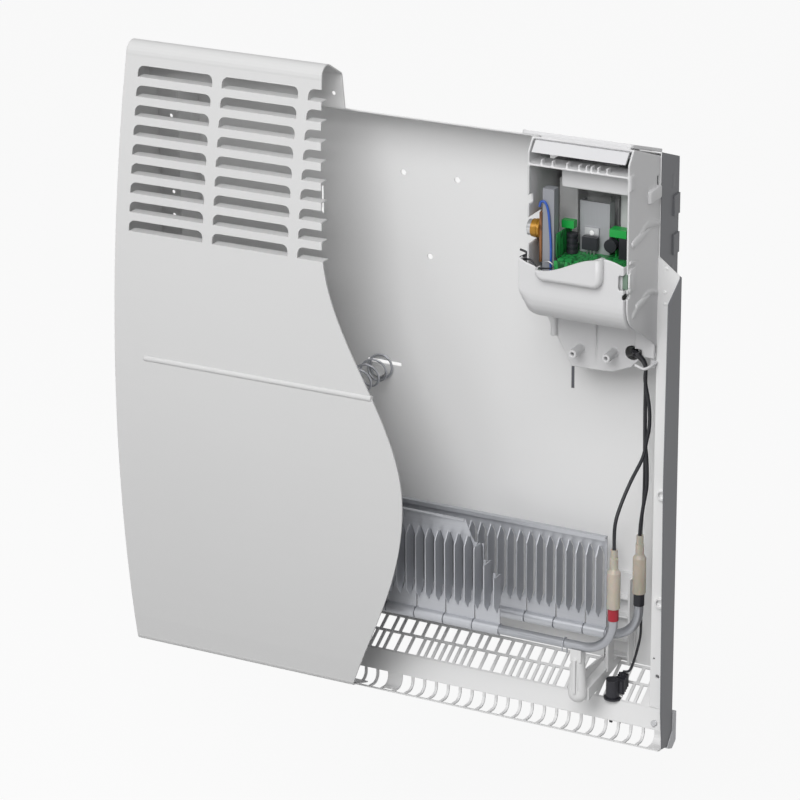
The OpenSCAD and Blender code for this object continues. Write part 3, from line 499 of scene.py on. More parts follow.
class Finishes:
    """Every finish of the heater, made once and handed out by name."""

    def __init__(self) -> None:
        """Build all the materials."""
        recipes = [
            PaintedSteel("cover_paint", (216, 216, 216)),
            PaintedSteel("tray_paint", (234, 234, 234), SIDE_GREY, 182.6),
            PaintedSteel("strip_paint", (240, 240, 240), SIDE_GREY, 197.3),
            PaintedSteel("grille_paint", (230, 230, 230)),
            MouldedPlastic("box_plastic", (220, 220, 221)),
            MouldedPlastic("panel_plastic", (217, 217, 219), 0.25, 0.004),
            MouldedPlastic("column_plastic", (150, 152, 158), 0.42),
            MouldedPlastic("cap_plastic", (196, 197, 200), 0.45),
            MouldedPlastic("slider_plastic", (92, 95, 101), 0.4),
            MouldedPlastic("black_plastic", (44, 44, 50), 0.42),
            MouldedPlastic("red_band", (168, 34, 50), 0.3),
            MouldedPlastic("lens_plastic", (214, 84, 34), 0.12, 0.002, 0.2, 0.4),
            MouldedPlastic("green_block", (34, 168, 74), 0.3),
            MouldedPlastic("support_plastic", (228, 228, 228), 0.36, 0.008, 0.5),
            DrawnMetal("fin_metal", (198, 200, 205), 0.42, Along.X, 0.55, 0.14),
            DrawnMetal("tube_metal", (178, 180, 185), 0.32, Along.X, 0.7, 0.2),
            DrawnMetal("spring_steel", (196, 198, 204), 0.34, Along.Y, 0.5, 0.2),
            DrawnMetal("plated_steel", (205, 206, 208), 0.3, Along.Z, 1.0, 0.2),
            DrawnMetal("sink_metal", (176, 177, 181), 0.5, Along.Z, 0.4, 0.1),
            # Dark grey painted shade, for the plate in the hook slot.
            PaintedSteel("shadow_steel", (98, 99, 104)),
            MouldedPlastic("rivet_white", (250, 250, 250), 0.3, 0.004),
            MouldedPlastic("latch_green", (120, 142, 126), 0.4),
            CableJacket("black_jacket", (24, 25, 30)),
            CableJacket("blue_jacket", (44, 80, 158)),
            SleeveRubber("sleeve_rubber", (242, 233, 219)),
            BoardLaminate("board_green", (46, 152, 78), (22, 84, 42)),
            BoardLaminate("board_brown", (139, 92, 52), (98, 62, 34)),
            WoundFilm("choke_wire", (196, 142, 44)),
        ]
        self.made: Dict[str, bpy.types.Material] = {r.name: r.make() for r in recipes}

    def __getitem__(self, name: str) -> bpy.types.Material:
        """Give the material of that name."""
        return self.made[name]

    def dress(self, frame: dict, dresses: Dict[str, Tuple[str, ...]]) -> None:
        """Put finishes on carried-over nodes.

        Args:
            dresses: The nodes that each finish goes on.
        """
        for finish, nodes in dresses.items():
            for node in nodes:
                thing = frame["nodes"][node]
                if not thing.material_slots:
                    thing.data.materials.append(self[finish])
                for slot in thing.material_slots:
                    slot.material = self[finish]
                LOG.info("%s finished as %s", node, finish)


@dataclass
class Piece:
    """A piece that the scene adds to the heater."""

    name: str

    def mesh(self) -> bpy.types.Mesh:
        """Draw the piece's mesh."""
        raise NotImplementedError

    def build(self, material: bpy.types.Material, slot: str, node: Optional[str] = None
              ) -> None:
        """Add the piece to the scene.

        Args:
            material: The finish.
            slot: The name of a record's material slot; not used.
            node: The node that it stands for, if it stands for one.
        """
        mesh = self.mesh()
        piece = bpy.data.objects.new(self.name, mesh)
        bpy.context.scene.collection.objects.link(piece)
        mesh.materials.append(material)
        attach(piece, HEATER)
        if node is not None:
            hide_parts(node)
        LOG.info("%s built with %d faces", self.name, len(mesh.polygons))


def flowing(points: Sequence[Sequence[float]], steps: int) -> List[Vector]:
    """Run a smooth curve through given points.

    Args:
        points: The points, in millimetres.
        steps: Steps from one point to the next.

    Returns:
        The curve's points, in millimetres.
    """
    knots = [Vector(p) for p in points]
    run: List[Vector] = []
    last = len(knots) - 1
    for i in range(last):
        a, b = knots[max(i - 1, 0)], knots[i]
        c, d = knots[i + 1], knots[min(i + 2, last)]
        for k in range(steps):
            t = k / steps
            run.append(0.5 * (2 * b + (c - a) * t + (2 * a - 5 * b + 4 * c - d) * t * t
                              + (3 * b - a - 3 * c + d) * t ** 3))
    run.append(knots[-1])
    return run


def heading_at(run: Sequence[Vector], index: int) -> Vector:
    """Give the direction in which a run of points passes one of them."""
    return (run[min(index + 1, len(run) - 1)] - run[max(index - 1, 0)]).normalized()


def circle(count: int) -> List[Tuple[float, float]]:
    """Give the cosine and sine of evenly spaced turns, from zero on."""
    turns = [2.0 * math.pi * k / count for k in range(count)]
    return [(math.cos(turn), math.sin(turn)) for turn in turns]


def skin(shape: bmesh.types.BMesh, rings: Sequence[List[bmesh.types.BMVert]]
         ) -> List[bmesh.types.BMFace]:
    """Join closed rings of points one after another and cap both ends.

    Args:
        shape: The shape that holds the points.
        rings: The rings, each with the same number of points.

    Returns:
        The faces between the rings, without the caps.
    """
    sides = []
    for near, far in zip(rings, rings[1:]):
        for k in range(len(near)):
            j = (k + 1) % len(near)
            sides.append(shape.faces.new((near[k], near[j], far[j], far[k])))
    shape.faces.new(rings[0][::-1])
    shape.faces.new(rings[-1])
    return sides


def finish_mesh(shape: bmesh.types.BMesh, name: str, smooth: bool = True) -> bpy.types.Mesh:
    """Turn a worked shape into a mesh with outward faces.

    Args:
        shape: The shape, in metres; it is freed.
        name: The mesh's name.
        smooth: Whether every face is shaded smooth, or each keeps its own shading.

    Returns:
        The mesh.
    """
    bmesh.ops.recalc_face_normals(shape, faces=shape.faces)
    if smooth:
        for face in shape.faces:
            face.smooth = True
    mesh = bpy.data.meshes.new(name)
    shape.to_mesh(mesh)
    shape.free()
    return mesh


@dataclass
class TubeRun(Piece):
    """A round tube or wire along a run of points."""

    run: List[Vector]
    diameter: float
    sides: int
    first_side: Triple = (0.31, 0.94, 0.12)

    def mesh(self) -> bpy.types.Mesh:
        """Sweep the tube, with flat ends.

        Returns:
            The tube's mesh.
        """
        shape = bmesh.new()
        rings = []
        across = Vector(self.first_side)
        for i, point in enumerate(self.run):
            heading = heading_at(self.run, i)
            across = (across - across.dot(heading) * heading).normalized()
            other = heading.cross(across)
            rings.append([
                shape.verts.new(place(point + (cos * across + sin * other) * self.diameter / 2))
                for cos, sin in circle(self.sides)])
        for face in skin(shape, rings):
            face.smooth = True
        return finish_mesh(shape, self.name, False)


@dataclass
class Plate(Piece):
    """A small moulded or pressed block with rounded edges."""

    low: Triple
    high: Triple
    edge: float = 0.3
    edge_steps: int = 3

    def mesh(self) -> bpy.types.Mesh:
        """Build the block and round its edges.

        Returns:
            The block's mesh.
        """
        shape = bmesh.new()
        bmesh.ops.create_cube(shape, size=1.0)
        low, high = place(self.low), place(self.high)
        for vert in shape.verts:
            vert.co = Vector((low[k] if vert.co[k] < 0 else high[k]) for k in range(3))
        bmesh.ops.bevel(shape, geom=list(shape.edges), offset=self.edge * MM,
                        segments=self.edge_steps, profile=0.5, affect="EDGES")
        return finish_mesh(shape, self.name)


@dataclass
class Ridge(Piece):
    """A soft raised line moulded on the outside of the right wall."""

    points: List[Triple]
    width: float
    height: float
    steps: int = 8
    sides: int = 16
    begin: float = 0.08
    spread: float = 1.15
    fullness: float = 0.6
    thinnest: float = 0.12

    def mesh(self) -> bpy.types.Mesh:
        """Sweep the ridge, full near its front end and thin at its back end.

        Returns:
            The ridge's mesh.
        """
        shape = bmesh.new()
        run = flowing(self.points, self.steps)
        outward = Vector((1.0, 0.0, 0.0))
        rings = []
        for i, point in enumerate(run):
            share = min(1.0, self.begin + i / (len(run) - 1) * self.spread)
            full = max(self.thinnest, math.sin(math.pi * share ** self.fullness))
            across = outward.cross(heading_at(run, i)).normalized()
            rings.append([
                shape.verts.new(place(point + (across * cos * self.width / 2 * full
                                               + outward * sin * self.height * full)))
                for cos, sin in circle(self.sides)])
        skin(shape, rings)
        return finish_mesh(shape, self.name)


@dataclass
class Rivet(Piece):
    """A low domed head with a flat rim, facing the room."""

    centre: Triple
    radius: float
    height: float
    sides: int = 24
    profile: Tuple[Tuple[float, float], ...] = (
        (1.0, 0.0), (1.0, 0.25), (0.93, 0.42), (0.8, 0.62), (0.6, 0.82), (0.35, 0.95))

    def mesh(self) -> bpy.types.Mesh:
        """Turn the head's profile round its axis.

        Returns:
            The head's mesh.
        """
        shape = bmesh.new()
        x, y, z = self.centre
        rings = [[shape.verts.new(place((x + self.radius * out * cos, y - self.height * up,
                                         z + self.radius * out * sin)))
                  for cos, sin in circle(self.sides)] for out, up in self.profile]
        skin(shape, rings)
        return finish_mesh(shape, self.name)


@dataclass
class RaisedFront(Piece):
    """The raised block on the belly of the box, a thin wall cut off along a wave."""

    name: str = "belly_boss"
    left: float = 119.0
    right: float = 166.2
    low: float = 341.8
    corner: float = 6.0
    sharpest: float = 1.0
    front: float = -87.4
    back: float = -79.2
    rounding: float = 3.2
    wall: float = 1.2
    steps: int = 6
    wave_middle: float = 355.5
    wave_depth: float = 6.3
    wave_start: float = 123.0
    wave_reach: float = 42.0

    def wave(self, x: float) -> float:
        """Return the height of the wavy cut at a place across the box."""
        return self.wave_middle - self.wave_depth * math.cos(
            math.pi * (x - self.wave_start) / self.wave_reach)

    def row(self, inset: float, y: float) -> List[Vector]:
        """Trace the block's outline from its left top round to its right top.

        Args:
            inset: How far the row lies inside the block's outline.
            y: Where the row lies from front to back.

        Returns:
            The row's points, in metres.
        """
        left, right, low = self.left + inset, self.right - inset, self.low + inset
        corner = max(self.corner - inset, self.sharpest)
        points = [(left, self.wave(left))]
        for middle, start in ((left + corner, math.pi), (right - corner, 1.5 * math.pi)):
            for k in range(self.steps + 1):
                turn = start + 0.5 * math.pi * k / self.steps
                points.append((middle + corner * math.cos(turn),
                               low + corner + corner * math.sin(turn)))
        points.append((right, self.wave(right)))
        return [place((x, y, z)) for x, z in points]

    def crest(self, y: float) -> List[Vector]:
        """Return the front wall's points along the wave, from right to left."""
        left, right = self.left + self.rounding, self.right - self.rounding
        count = 2 * self.steps
        across = [right + (left - right) * k / count for k in range(1, count)]
        return [place((x, y, self.wave(x))) for x in across]

    @staticmethod
    def strip(shape: bmesh.types.BMesh, one: List[bmesh.types.BMVert],
              two: List[bmesh.types.BMVert]) -> List[bmesh.types.BMFace]:
        """Join two open rows of points by one strip of faces."""
        return [shape.faces.new((one[k], one[k + 1], two[k + 1], two[k]))
                for k in range(len(one) - 1)]

    def mesh(self) -> bpy.types.Mesh:
        """Build the block's outside, its inside and the rims between them.

        Returns:
            The block's mesh.
        """
        shape = bmesh.new()
        skins = []
        for wall in (0.0, self.wall):
            radius = self.rounding - wall
            rows = [self.row(wall, self.back)]
            for k in range(self.steps + 1):
                turn = 0.5 * math.pi * k / self.steps
                rows.append(self.row(wall + radius * (1.0 - math.cos(turn)),
                                     self.front + self.rounding - radius * math.sin(turn)))
            skins.append([[shape.verts.new(point) for point in row] for row in rows])
        for rows in skins:
            for one, two in zip(rows, rows[1:]):
                for face in self.strip(shape, one, two):
                    face.smooth = True
        crests = [[shape.verts.new(point) for point in self.crest(self.front + wall)]
                  for wall in (0.0, self.wall)]
        for rows, crest in zip(skins, crests):
            shape.faces.new(rows[-1] + crest)
        outer, inner = skins
        self.strip(shape, outer[0], inner[0])
        for end in (0, -1):
            self.strip(shape, [row[end] for row in outer], [row[end] for row in inner])
        self.strip(shape, *([rows[-1][-1]] + crest + [rows[-1][0]]
                            for rows, crest in zip(skins, crests)))
        return finish_mesh(shape, self.name, False)


@dataclass
class SoftMoulding(Piece):
    """A moulding whose edges and corners are rounded as moulded plastic is."""

    solid: bpy.types.Object
    voxel: float
    passes: int
    pull: float = 0.5
    weld: float = 1e-6

    def mesh(self) -> bpy.types.Mesh:
        """Remesh a copy of the solid's shape evenly and relax its edges.

        Returns:
            The rounded moulding's mesh.
        """
        shape = bmesh.new()
        shape.from_mesh(self.solid.data)
        bmesh.ops.remove_doubles(shape, verts=shape.verts, dist=self.weld)
        sharp = bpy.data.meshes.new("sharp")
        shape.to_mesh(sharp)
        shape.free()
        copy = bpy.data.objects.new("sharp", sharp)
        bpy.context.scene.collection.objects.link(copy)
        even = copy.modifiers.new("even", "REMESH")
        even.mode = "VOXEL"
        even.voxel_size = self.voxel * MM
        relaxed = copy.modifiers.new("relaxed", "SMOOTH")
        relaxed.factor = self.pull
        relaxed.iterations = self.passes
        seen = copy.evaluated_get(bpy.context.evaluated_depsgraph_get())
        rounded = bpy.data.meshes.new_from_object(seen)
        bpy.data.objects.remove(copy)
        rounded.name = self.name
        for face in rounded.polygons:
            face.use_smooth = True
        rounded.materials.clear()
        return rounded


@dataclass
class Assembly:
    """A group of the heater's pieces that is dressed and completed together."""

    frame: dict
    finishes: Finishes

    def build(self) -> None:
        """Dress the group's nodes and add what the solids leave out."""
        raise NotImplementedError


@dataclass
class Casing(Assembly):
    """Cover, tray, bottom grille and what holds them together."""

    spring_x: float = -38.9
    spring_z: float = 228.0
    spring_diameter: float = 19.0
    spring_wire: float = 1.6
    spring_turns: int = 8
    spring_start: float = -2.6
    spring_length: float = 90.73
    spring_steps: int = 32
    spring_sides: int = 12
    tab_sides: Tuple[Tuple[str, float, float], ...] = (
        ("left", -183.05, -181.9), ("right", 181.9, 183.05))
    tab_levels: Tuple[Tuple[str, float], ...] = (("lower", 330.0), ("upper", 392.0))
    room: float = -200.0
    strip_front: float = -30.0
    rivet_size: Tuple[float, float] = (1.3, 0.6)
    rivets: Tuple[Tuple[float, float], ...] = ((187.9, 342.8), (187.4, 326.2),
                                               (187.6, 318.1))

    def spring_run(self) -> List[Vector]:
        """Trace the bonding spring, with a closed flat turn at each end.

        Returns:
            The wire's centre line, in millimetres.
        """
        radius = (self.spring_diameter - self.spring_wire) / 2
        steps = self.spring_steps
        count = self.spring_turns * steps
        run = []
        for i in range(-steps, count + steps + 1):
            turn = 2.0 * math.pi * (i / steps + 0.25)
            along = min(max(i, 0), count) / count
            run.append(Vector((self.spring_x + radius * math.cos(turn),
                               self.spring_start - self.spring_length * along,
                               self.spring_z + radius * math.sin(turn))))
        return run

    def build(self) -> None:
        """Dress the casing, wind the spring and add the tray's and the strip's trim."""
        self.finishes.dress(self.frame, {
            "cover_paint": ("front_cover",),
            "tray_paint": ("back_panel", "spring_seat"),
            "strip_paint": ("cover_side_strip",),
            "grille_paint": ("bottom_grille",),
            "plated_steel": ("cover_screws",),
            "cap_plastic": ("corner_cap_right", "corner_cap_left"),
            "black_plastic": ("cord_bush",),
            "spring_steel": ("earth_spring",),
        })
        TubeRun("bonding_spring", self.spring_run(), self.spring_wire, self.spring_sides
                ).build(self.finishes["spring_steel"], "spring_steel", "earth_spring")
        for side, low, high in self.tab_sides:
            for level, z in self.tab_levels:
                Plate(f"tray_tab_{level}_{side}", (low, -12.3, z - 0.3),
                      (high, -6.7, z + 9.3)).build(self.finishes["tray_paint"], "cream_steel")
        # The plate in the hook slot is dark grey as painted shade in the slot; the keyhole's
        # edge plate is tray paint.
        for name, low, high, finish in (
                ("shaded_slot_tongue", (107.0, -0.95, 235.8), (109.6, -0.1, 252.2), "shadow_steel"),
                ("keyhole_edge", (-83.4, -0.95, 333.0), (-80.0, -0.1, 355.5), "tray_paint")):
            Plate(name, low, high, 0.1).build(self.finishes[finish], "cream_steel")
        strip = self.frame["nodes"]["cover_side_strip"]
        for k, (x, z) in enumerate(self.rivets, 1):
            hit, spot, _, _ = strip.ray_cast(place((x, self.room, z)), Vector((0, 1, 0)))
            y = spot.y / MM if hit else self.strip_front
            Rivet(f"strip_rivet_{k}", (x, y + 0.1, z), *self.rivet_size).build(
                self.finishes["rivet_white"], "side_steel")


@dataclass
class Element(Assembly):
    """Sheathed heating tube with its finned blades, supports and terminals."""

    tube: float = 6.5
    bend: float = 22.0
    front: Triple = (166.6, -59.0, 73.8)
    back: Triple = (169.6, -23.0, 69.5)
    front_top: float = 106.0
    back_top: float = 103.0
    turn_x: float = -159.5
    steps: int = 16
    sides: int = 28

    def riser(self, foot: Triple, top: float) -> List[Vector]:
        """Trace one end of the tube from its bend to its top.

        Args:
            foot: X of the riser, with Y and Z of the level leg.
            top: Height of the riser's end.

        Returns:
            Points from the level leg upwards.
        """
        x, y, z = foot
        run = []
        for k in range(self.steps + 1):
            turn = math.pi / 2 * k / self.steps
            run.append(Vector((x - self.bend + self.bend * math.sin(turn), y,
                               z + self.bend - self.bend * math.cos(turn))))
        run.append(Vector((x, y, top)))
        return run

    def tube_run(self) -> List[Vector]:
        """Trace the whole tube, out along the back, round and along the front.

        Returns:
            The tube's centre line, in millimetres.
        """
        run = self.riser(self.back, self.back_top)[::-1]
        dy, dz = self.front[1] - self.back[1], self.front[2] - self.back[2]
        reach = math.hypot(dy, dz) / 2
        middle = Vector((self.turn_x, (self.front[1] + self.back[1]) / 2,
                         (self.front[2] + self.back[2]) / 2))
        side = Vector((0.0, dy, dz)).normalized()
        for k in range(2 * self.steps + 1):
            turn = math.pi * k / (2 * self.steps)
            run.append(middle - side * reach * math.cos(turn)
                       - Vector((reach * math.sin(turn), 0.0, 0.0)))
        return run + self.riser(self.front, self.front_top)

    def build(self) -> None:
        """Dress the element and bend its tube."""
        self.finishes.dress(self.frame, {
            "tube_metal": ("heating_tube",),
            "fin_metal": ("back_fin_blade", "front_fin_blade"),
            "support_plastic": ("element_support_right", "element_support_left"),
            "spring_steel": ("element_clips",),
            "sleeve_rubber": ("front_terminal_sleeve", "back_terminal_sleeve"),
            "plated_steel": ("terminal_pins",),
            "red_band": ("front_terminal_band",),
            "black_plastic": ("back_terminal_band",),
        })
        TubeRun("sheathed_tube", self.tube_run(), self.tube, self.sides).build(
            self.finishes["tube_metal"], "tube_steel", "heating_tube")


@dataclass
class ControlBox(Assembly):
    """Moulded box, its panels and the controls on its top."""

    wall: float = 182.3

    def build(self) -> None:
        """Dress the box and its controls, and add its trim."""
        self.finishes.dress(self.frame, {
            "panel_plastic": ("upper_front_panel", "thermostat_knob", "power_rocker"),
            "plated_steel": ("thermostat_potentiometer", "housing_screws"),
            "slider_plastic": ("mode_slider",),
            "black_plastic": ("mode_switch",),
            "lens_plastic": ("indicator_lens",),
            "column_plastic": ("inner_partition",),
        })
        plastic, slot = self.finishes["box_plastic"], "white_plastic"
        for name, node, voxel, passes in (
                ("box_shell", "control_housing", 0.6, 3),
                ("belly_cover", "control_front_cover", 0.5, 18),
                ("box_tail", "control_tail", 0.5, 6), ("top_bezel", "control_bezel", 0.5, 4)):
            SoftMoulding(name, self.frame["nodes"][node], voxel, passes).build(
                plastic, slot, node)
        RaisedFront().build(plastic, slot)
        for name, low, high, edge in (
                ("rear_liner", (117.6, -24.6, 354.2), (154.0, -23.4, 388.0), 0.2),
                ("rear_rib_1", (117.0, -31.0, 354.2), (118.2, -23.4, 386.0), 0.2),
                ("rear_rib_2", (123.4, -29.0, 354.2), (124.6, -24.0, 387.0), 0.2),
                ("rear_rib_3", (147.0, -31.0, 354.2), (148.2, -24.0, 386.0), 0.2),
                ("rear_rib_4", (152.8, -31.0, 354.2), (154.0, -23.4, 386.0), 0.2),
                ("bezel_skirt", (110.6, -58.6, 423.5), (173.5, -57.2, 431.0), 0.3)):
            Plate(name, low, high, edge).build(plastic, slot)
        for name, line, width, height in (
                ("wall_ridge_upper", ((-74, 371), (-66, 372), (-57, 372.9), (-48, 373.5),
                                      (-40, 373.1), (-32, 371.4)), 5.4, 1.3),
                ("wall_ridge_lower", ((-66, 326.4), (-57, 326.9), (-48, 327.6),
                                      (-41, 327.9), (-31, 326)), 5.4, 1.3),
                ("wall_ridge_small", ((-77, 359.8), (-71, 358.8), (-62, 357.2)), 3.0, 0.8)):
            Ridge(name, [(self.wall, y, z) for y, z in line], width, height).build(
                plastic, slot)
        for name, low, high, edge, finish in (
                ("wall_hook", (181.8, -49.5, 391.5), (184.6, -31.5, 400.0), 0.9, plastic),
                ("latch_frame", (181.8, -76.6, 340.0), (182.9, -67.6, 355.4), 0.5, plastic),
                ("latch_web", (172.4, -78.0, 339.6), (178.4, -76.4, 355.4), 0.3, plastic),
                ("latch_tongue", (178.0, -78.2, 342.0), (181.6, -77.2, 353.4), 0.2,
                 self.finishes["latch_green"]),
                ("latch_lip", (182.0, -78.0, 343.6), (182.9, -75.6, 352.6), 0.2,
                 self.finishes["rivet_white"])):
            Plate(name, low, high, edge).build(finish, slot)


@dataclass
class Electronics(Assembly):
    """Circuit board with the parts that stand on it."""

    edge: float = 0.15
    rivet: Triple = (143.8, -51.2, 367.2)

    def build(self) -> None:
        """Dress the electronics, and add the board's edges and the tab's rivet."""
        self.finishes.dress(self.frame, {
            "board_green": ("circuit_board",),
            "board_brown": ("side_board",),
            "sink_metal": ("heatsink",),
            "plated_steel": ("triac_tab", "triac_legs", "choke_cap"),
            "black_plastic": ("triac_body", "ring_capacitor", "disc_component", "relay"),
            "green_block": ("terminal_blocks",),
            "choke_wire": ("choke_coil",),
        })
        for name, low, high in (
                ("board_apron", (128.0, -75.5, 341.5), (166.0, -74.7, 353.2)),
                ("board_wing_front", (126.8, -70.0, 353.3), (127.8, -47.0, 369.5)),
                ("board_wing_right", (179.3, -74.0, 353.3), (180.4, -42.0, 377.0))):
            Plate(name, low, high, self.edge).build(self.finishes["board_green"],
                                                    "board_green")
        Rivet("tab_rivet", self.rivet, 1.75, 0.5).build(self.finishes["rivet_white"], "zinc")


@dataclass
class Wiring(Assembly):
    """Leads to the element and the sensor, and the thin wires at the box."""

    front: Route = (
        (163.5, -17, 281), (165.4, -30.5, 282), (169.8, -35.5, 283), (173.6, -34.5, 280),
        (175, -31, 273.4), (173.4, -28, 261.9), (175.3, -27, 249.1), (176.6, -27, 239.3),
        (177, -28, 228.3), (176, -30, 218.8), (175, -33.5, 208.3), (169.8, -41, 192.8),
        (166.7, -50, 178.2), (165.8, -56.5, 166), (166.6, -59, 148), (166.6, -59, 140))
    back: Route = (
        (166, -15, 282.6), (166.6, -30, 279.6), (169.6, -33, 280), (172.6, -32, 277),
        (174, -29, 271), (172.6, -25.5, 260.9), (172, -23.5, 238.7), (171.6, -21.5, 214.9),
        (172.5, -20.5, 200.2), (172.6, -20, 182.6), (170.5, -21, 166.5), (169.6, -23, 152),
        (169.6, -23, 140))
    probe: Route = (
        (166.2, -12, 268), (166.9, -13, 252.8), (167.3, -14, 234.6), (168, -15, 213.4),
        (168.4, -15, 184.4), (167.5, -14.5, 160.5), (166.2, -13.5, 139.2),
        (166.5, -13.5, 109.5), (167.5, -14, 91.1), (168, -15, 77.3), (168.1, -16.5, 67.4),
        (166, -19, 54.3), (163, -21, 43.9), (158.4, -22, 42.2))
    hook: Route = (
        (182.4, -29.5, 276.6), (181.6, -37, 276.2), (178.6, -40.6, 274.8),
        (174.8, -40.8, 275.4), (171.3, -40.6, 276.6))
    knot: Route = (
        (104.2, -76, 357.6), (108.2, -76, 356.5), (109.2, -76, 355.2), (104.6, -76, 352.3),
        (105.9, -76.6, 351.5), (109.6, -78, 352.3))
    edge: Route = (
        (109.6, -78, 352.3), (114, -80.6, 353.3), (116.6, -81.2, 351.2),
        (119.5, -81.6, 349.1), (124, -81.7, 349.2), (129.4, -81.7, 350.1))
    loop: Route = (
        (121.7, -76, 352.1), (124.9, -76, 352.2), (127.4, -76, 350.6), (128.3, -76, 348.3))
    blue: Route = (
        (124.4, -73.1, 343), (124.8, -73.1, 350), (124.8, -73.1, 362),
        (123.8, -73.1, 376), (122.6, -73.1, 386), (120.4, -73.1, 391),
        (117.6, -73.1, 391), (116.6, -73, 387.6))

    def build(self) -> None:
        """Dress the wiring's fittings and draw the wires."""
        self.finishes.dress(self.frame, {
            "black_plastic": ("probe_body", "probe_clip"),
            "black_jacket": ("front_lead", "back_lead", "probe_lead"),
            "blue_jacket": ("blue_wire",),
        })
        black = ("black_jacket", "black_pvc")
        for name, node, run, steps, size, sides, (finish, slot) in (
                ("element_lead_front", "front_lead", self.front, 8, 2.5, 14, black),
                ("element_lead_back", "back_lead", self.back, 8, 2.5, 14, black),
                ("sensor_lead", "probe_lead", self.probe, 8, 1.8, 14, black),
                ("partition_wire", "blue_wire", self.blue, 8, 1.6, 14,
                 ("blue_jacket", "blue_pvc")),
                ("lead_hook", "cable_clip", self.hook, 8, 2.0, 14,
                 ("box_plastic", "white_plastic")),
                ("edge_knot", None, self.knot, 6, 1.6, 10, black),
                ("edge_wire", None, self.edge, 6, 1.0, 10, black),
                ("loop_wire", None, self.loop, 6, 0.9, 10, ("plated_steel", "zinc"))):
            TubeRun(name, flowing(run, steps), size, sides).build(
                self.finishes[finish], slot, node)


def grey(level: float) -> Colour:
    """Give a linear grey with an alpha of one."""
    return (level, level, level, 1.0)


def wire_up(tree: bpy.types.NodeTree, kinds: Dict[str, str],
            links: Sequence[Tuple[str, Union[int, str], str, Union[int, str]]]
            ) -> Dict[str, bpy.types.Node]:
    """Fill a node tree afresh and join its nodes.

    Args:
        tree: The tree, which is emptied first.
        kinds: The type of each node, under a name for the links.
        links: From which node and output to which node and input.

    Returns:
        The nodes under their names.
    """
    tree.nodes.clear()
    nodes = {name: tree.nodes.new(kind) for name, kind in kinds.items()}
    for start, output, end, into in links:
        tree.links.new(nodes[start].outputs[output], nodes[end].inputs[into])
    return nodes


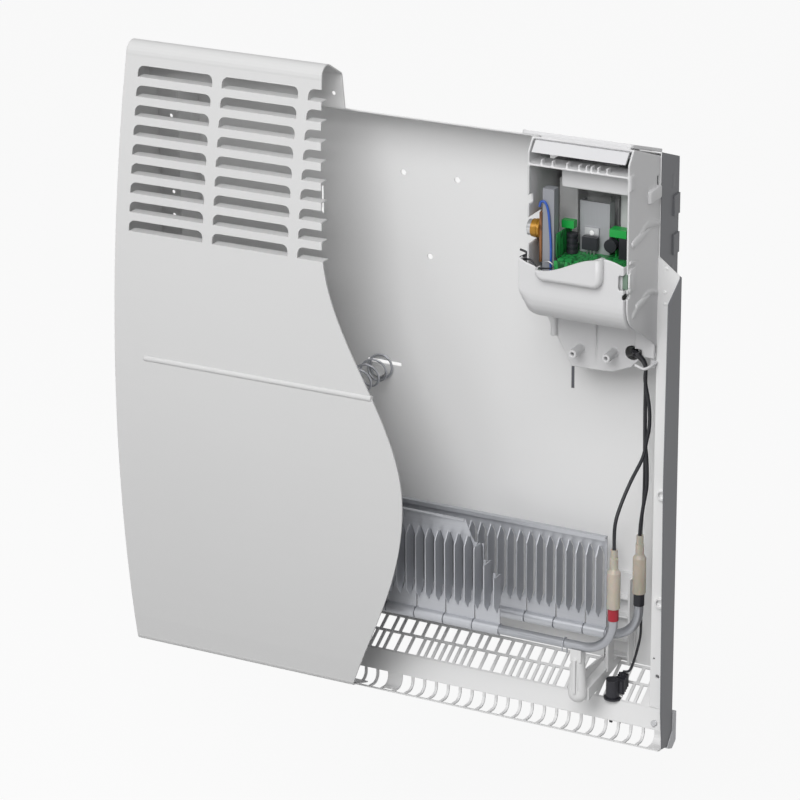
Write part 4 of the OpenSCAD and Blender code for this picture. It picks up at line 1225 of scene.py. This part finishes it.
@dataclass
class Studio:
    """Floor, light and the camera that took the photograph."""

    azimuth: float = 27.83
    elevation: float = 21.11
    roll: float = -0.54
    lens: float = 152.775
    sensor: float = 36.0
    clip: Tuple[float, float] = (0.1, 50.0)
    stand: Triple = (1012.4, -1965.9, 1062.2)
    aim: Triple = (0.0, -0.05, -0.14)
    key_spot: Triple = (0.3, -2.12, 1.72)
    key_size: float = 1.7
    key_watts: float = 56.0
    fill_spot: Triple = (-0.7, -2.62, -0.1)
    fill_size: float = 0.7
    fill_watts: float = 3.0
    sky: Triple = (0.17, 0.36, 0.5)
    floor_drop: float = 0.24
    floor_reach: float = 9.0
    floor_paint: float = 0.8
    floor_bounce: float = 0.42
    floor_glow: float = 0.9

    def camera(self) -> None:
        """Set up the camera at the photograph's viewing point."""
        az, el, ro = (math.radians(v) for v in (self.azimuth, self.elevation, self.roll))
        ahead = Vector((-math.sin(az) * math.cos(el), math.cos(az) * math.cos(el),
                        -math.sin(el)))
        right = Vector((math.cos(az), math.sin(az), 0.0))
        up = right.cross(ahead)
        across = math.cos(ro) * right + math.sin(ro) * up
        upright = -math.sin(ro) * right + math.cos(ro) * up
        turn = Matrix((across, upright, -ahead)).transposed()
        lens = bpy.data.cameras.new("photo_camera")
        lens.lens = self.lens
        lens.sensor_width = self.sensor
        lens.sensor_fit = "HORIZONTAL"
        lens.clip_start, lens.clip_end = self.clip
        camera = bpy.data.objects.new("photo_camera", lens)
        camera.matrix_world = Matrix.Translation(place(self.stand)) @ turn.to_4x4()
        bpy.context.scene.collection.objects.link(camera)
        bpy.context.scene.camera = camera

    def lamp(self, name: str, spot: Triple, size: float, watts: float) -> None:
        """Add one soft lamp that points at the heater.

        Args:
            name: The lamp's name.
            spot: Where it stands, in metres.
            size: Width of its square face, in metres.
            watts: Its power.
        """
        light = bpy.data.lights.new(name, "AREA")
        light.shape = "SQUARE"
        light.size = size
        light.energy = watts
        lamp = bpy.data.objects.new(name, light)
        lamp.location = spot
        sight = Vector(self.aim) - Vector(spot)
        lamp.rotation_euler = sight.to_track_quat("-Z", "Y").to_euler()
        bpy.context.scene.collection.objects.link(lamp)

    def surroundings(self) -> None:
        """Light the object from a pale sky that the camera sees as white."""
        world = bpy.data.worlds.new("studio")
        bpy.context.scene.world = world
        world.use_nodes = True
        nodes = wire_up(world.node_tree, {
            "output": "ShaderNodeOutputWorld", "spot": "ShaderNodeTexCoord",
            "split": "ShaderNodeSeparateXYZ", "ramp": "ShaderNodeValToRGB",
            "height": "ShaderNodeMapRange", "light": "ShaderNodeBackground",
            "seen": "ShaderNodeBackground", "mix": "ShaderNodeMixShader",
            "path": "ShaderNodeLightPath",
        }, (
            ("spot", "Generated", "split", 0), ("split", "Z", "height", "Value"),
            ("height", "Result", "ramp", "Fac"), ("ramp", "Color", "light", "Color"),
            ("path", "Is Camera Ray", "mix", "Fac"), ("light", 0, "mix", 1),
            ("seen", 0, "mix", 2), ("mix", 0, "output", "Surface"),
        ))
        nodes["height"].inputs["From Min"].default_value = -1.0
        nodes["seen"].inputs["Color"].default_value = grey(1.0)
        stops = nodes["ramp"].color_ramp.elements
        for k, (spot, level) in enumerate(zip((0.0, 0.5, 1.0), self.sky)):
            stop = stops[k] if k < len(stops) else stops.new(0.5)
            stop.position = spot
            stop.color = grey(level)

    def floor(self) -> None:
        """Lay a pale floor below the heater that keeps a faint shadow."""
        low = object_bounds()[0].z - self.floor_drop
        shape = bmesh.new()
        bmesh.ops.create_grid(shape, x_segments=1, y_segments=1, size=self.floor_reach)
        mesh = bpy.data.meshes.new("studio_floor")
        shape.to_mesh(mesh)
        shape.free()
        floor = bpy.data.objects.new("studio_floor", mesh)
        floor.location = (0.0, 0.0, low)
        bpy.context.scene.collection.objects.link(floor)
        paint = bpy.data.materials.new("floor_paint")
        paint.use_nodes = True
        nodes = wire_up(paint.node_tree, {
            "output": "ShaderNodeOutputMaterial", "matt": "ShaderNodeBsdfDiffuse",
            "bounce": "ShaderNodeBsdfDiffuse", "glow": "ShaderNodeEmission",
            "seen": "ShaderNodeMixShader", "mix": "ShaderNodeMixShader",
            "path": "ShaderNodeLightPath", "glossy": "ShaderNodeMath",
            "through": "ShaderNodeMath",
        }, (
            ("path", "Is Camera Ray", "glossy", 0), ("path", "Is Glossy Ray", "glossy", 1),
            ("glossy", 0, "through", 0), ("path", "Is Transmission Ray", "through", 1),
            ("matt", 0, "seen", 1), ("glow", 0, "seen", 2), ("through", 0, "mix", "Fac"),
            ("bounce", 0, "mix", 1), ("seen", 0, "mix", 2), ("mix", 0, "output", "Surface"),
        ))
        nodes["glossy"].operation = nodes["through"].operation = "MAXIMUM"
        nodes["matt"].inputs["Color"].default_value = grey(self.floor_paint)
        nodes["bounce"].inputs["Color"].default_value = grey(self.floor_bounce)
        nodes["seen"].inputs["Fac"].default_value = self.floor_glow
        mesh.materials.append(paint)
        floor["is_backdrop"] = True

    def build(self) -> None:
        """Set up the whole studio."""
        self.camera()
        self.lamp("key_lamp", self.key_spot, self.key_size, self.key_watts)
        self.lamp("fill_lamp", self.fill_spot, self.fill_size, self.fill_watts)
        self.surroundings()
        self.floor()
        bpy.context.scene.view_settings.view_transform = "Standard"


def main() -> None:
    """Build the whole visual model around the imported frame."""
    logging.basicConfig(level=logging.INFO, format="%(name)s: %(message)s")
    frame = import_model()
    finishes = Finishes()
    for kind in (Casing, Element, ControlBox, Electronics, Wiring):
        kind(frame, finishes).build()
        LOG.info("%s done", kind.__name__)
    Studio().build()


if __name__ == "__main__":
    main()
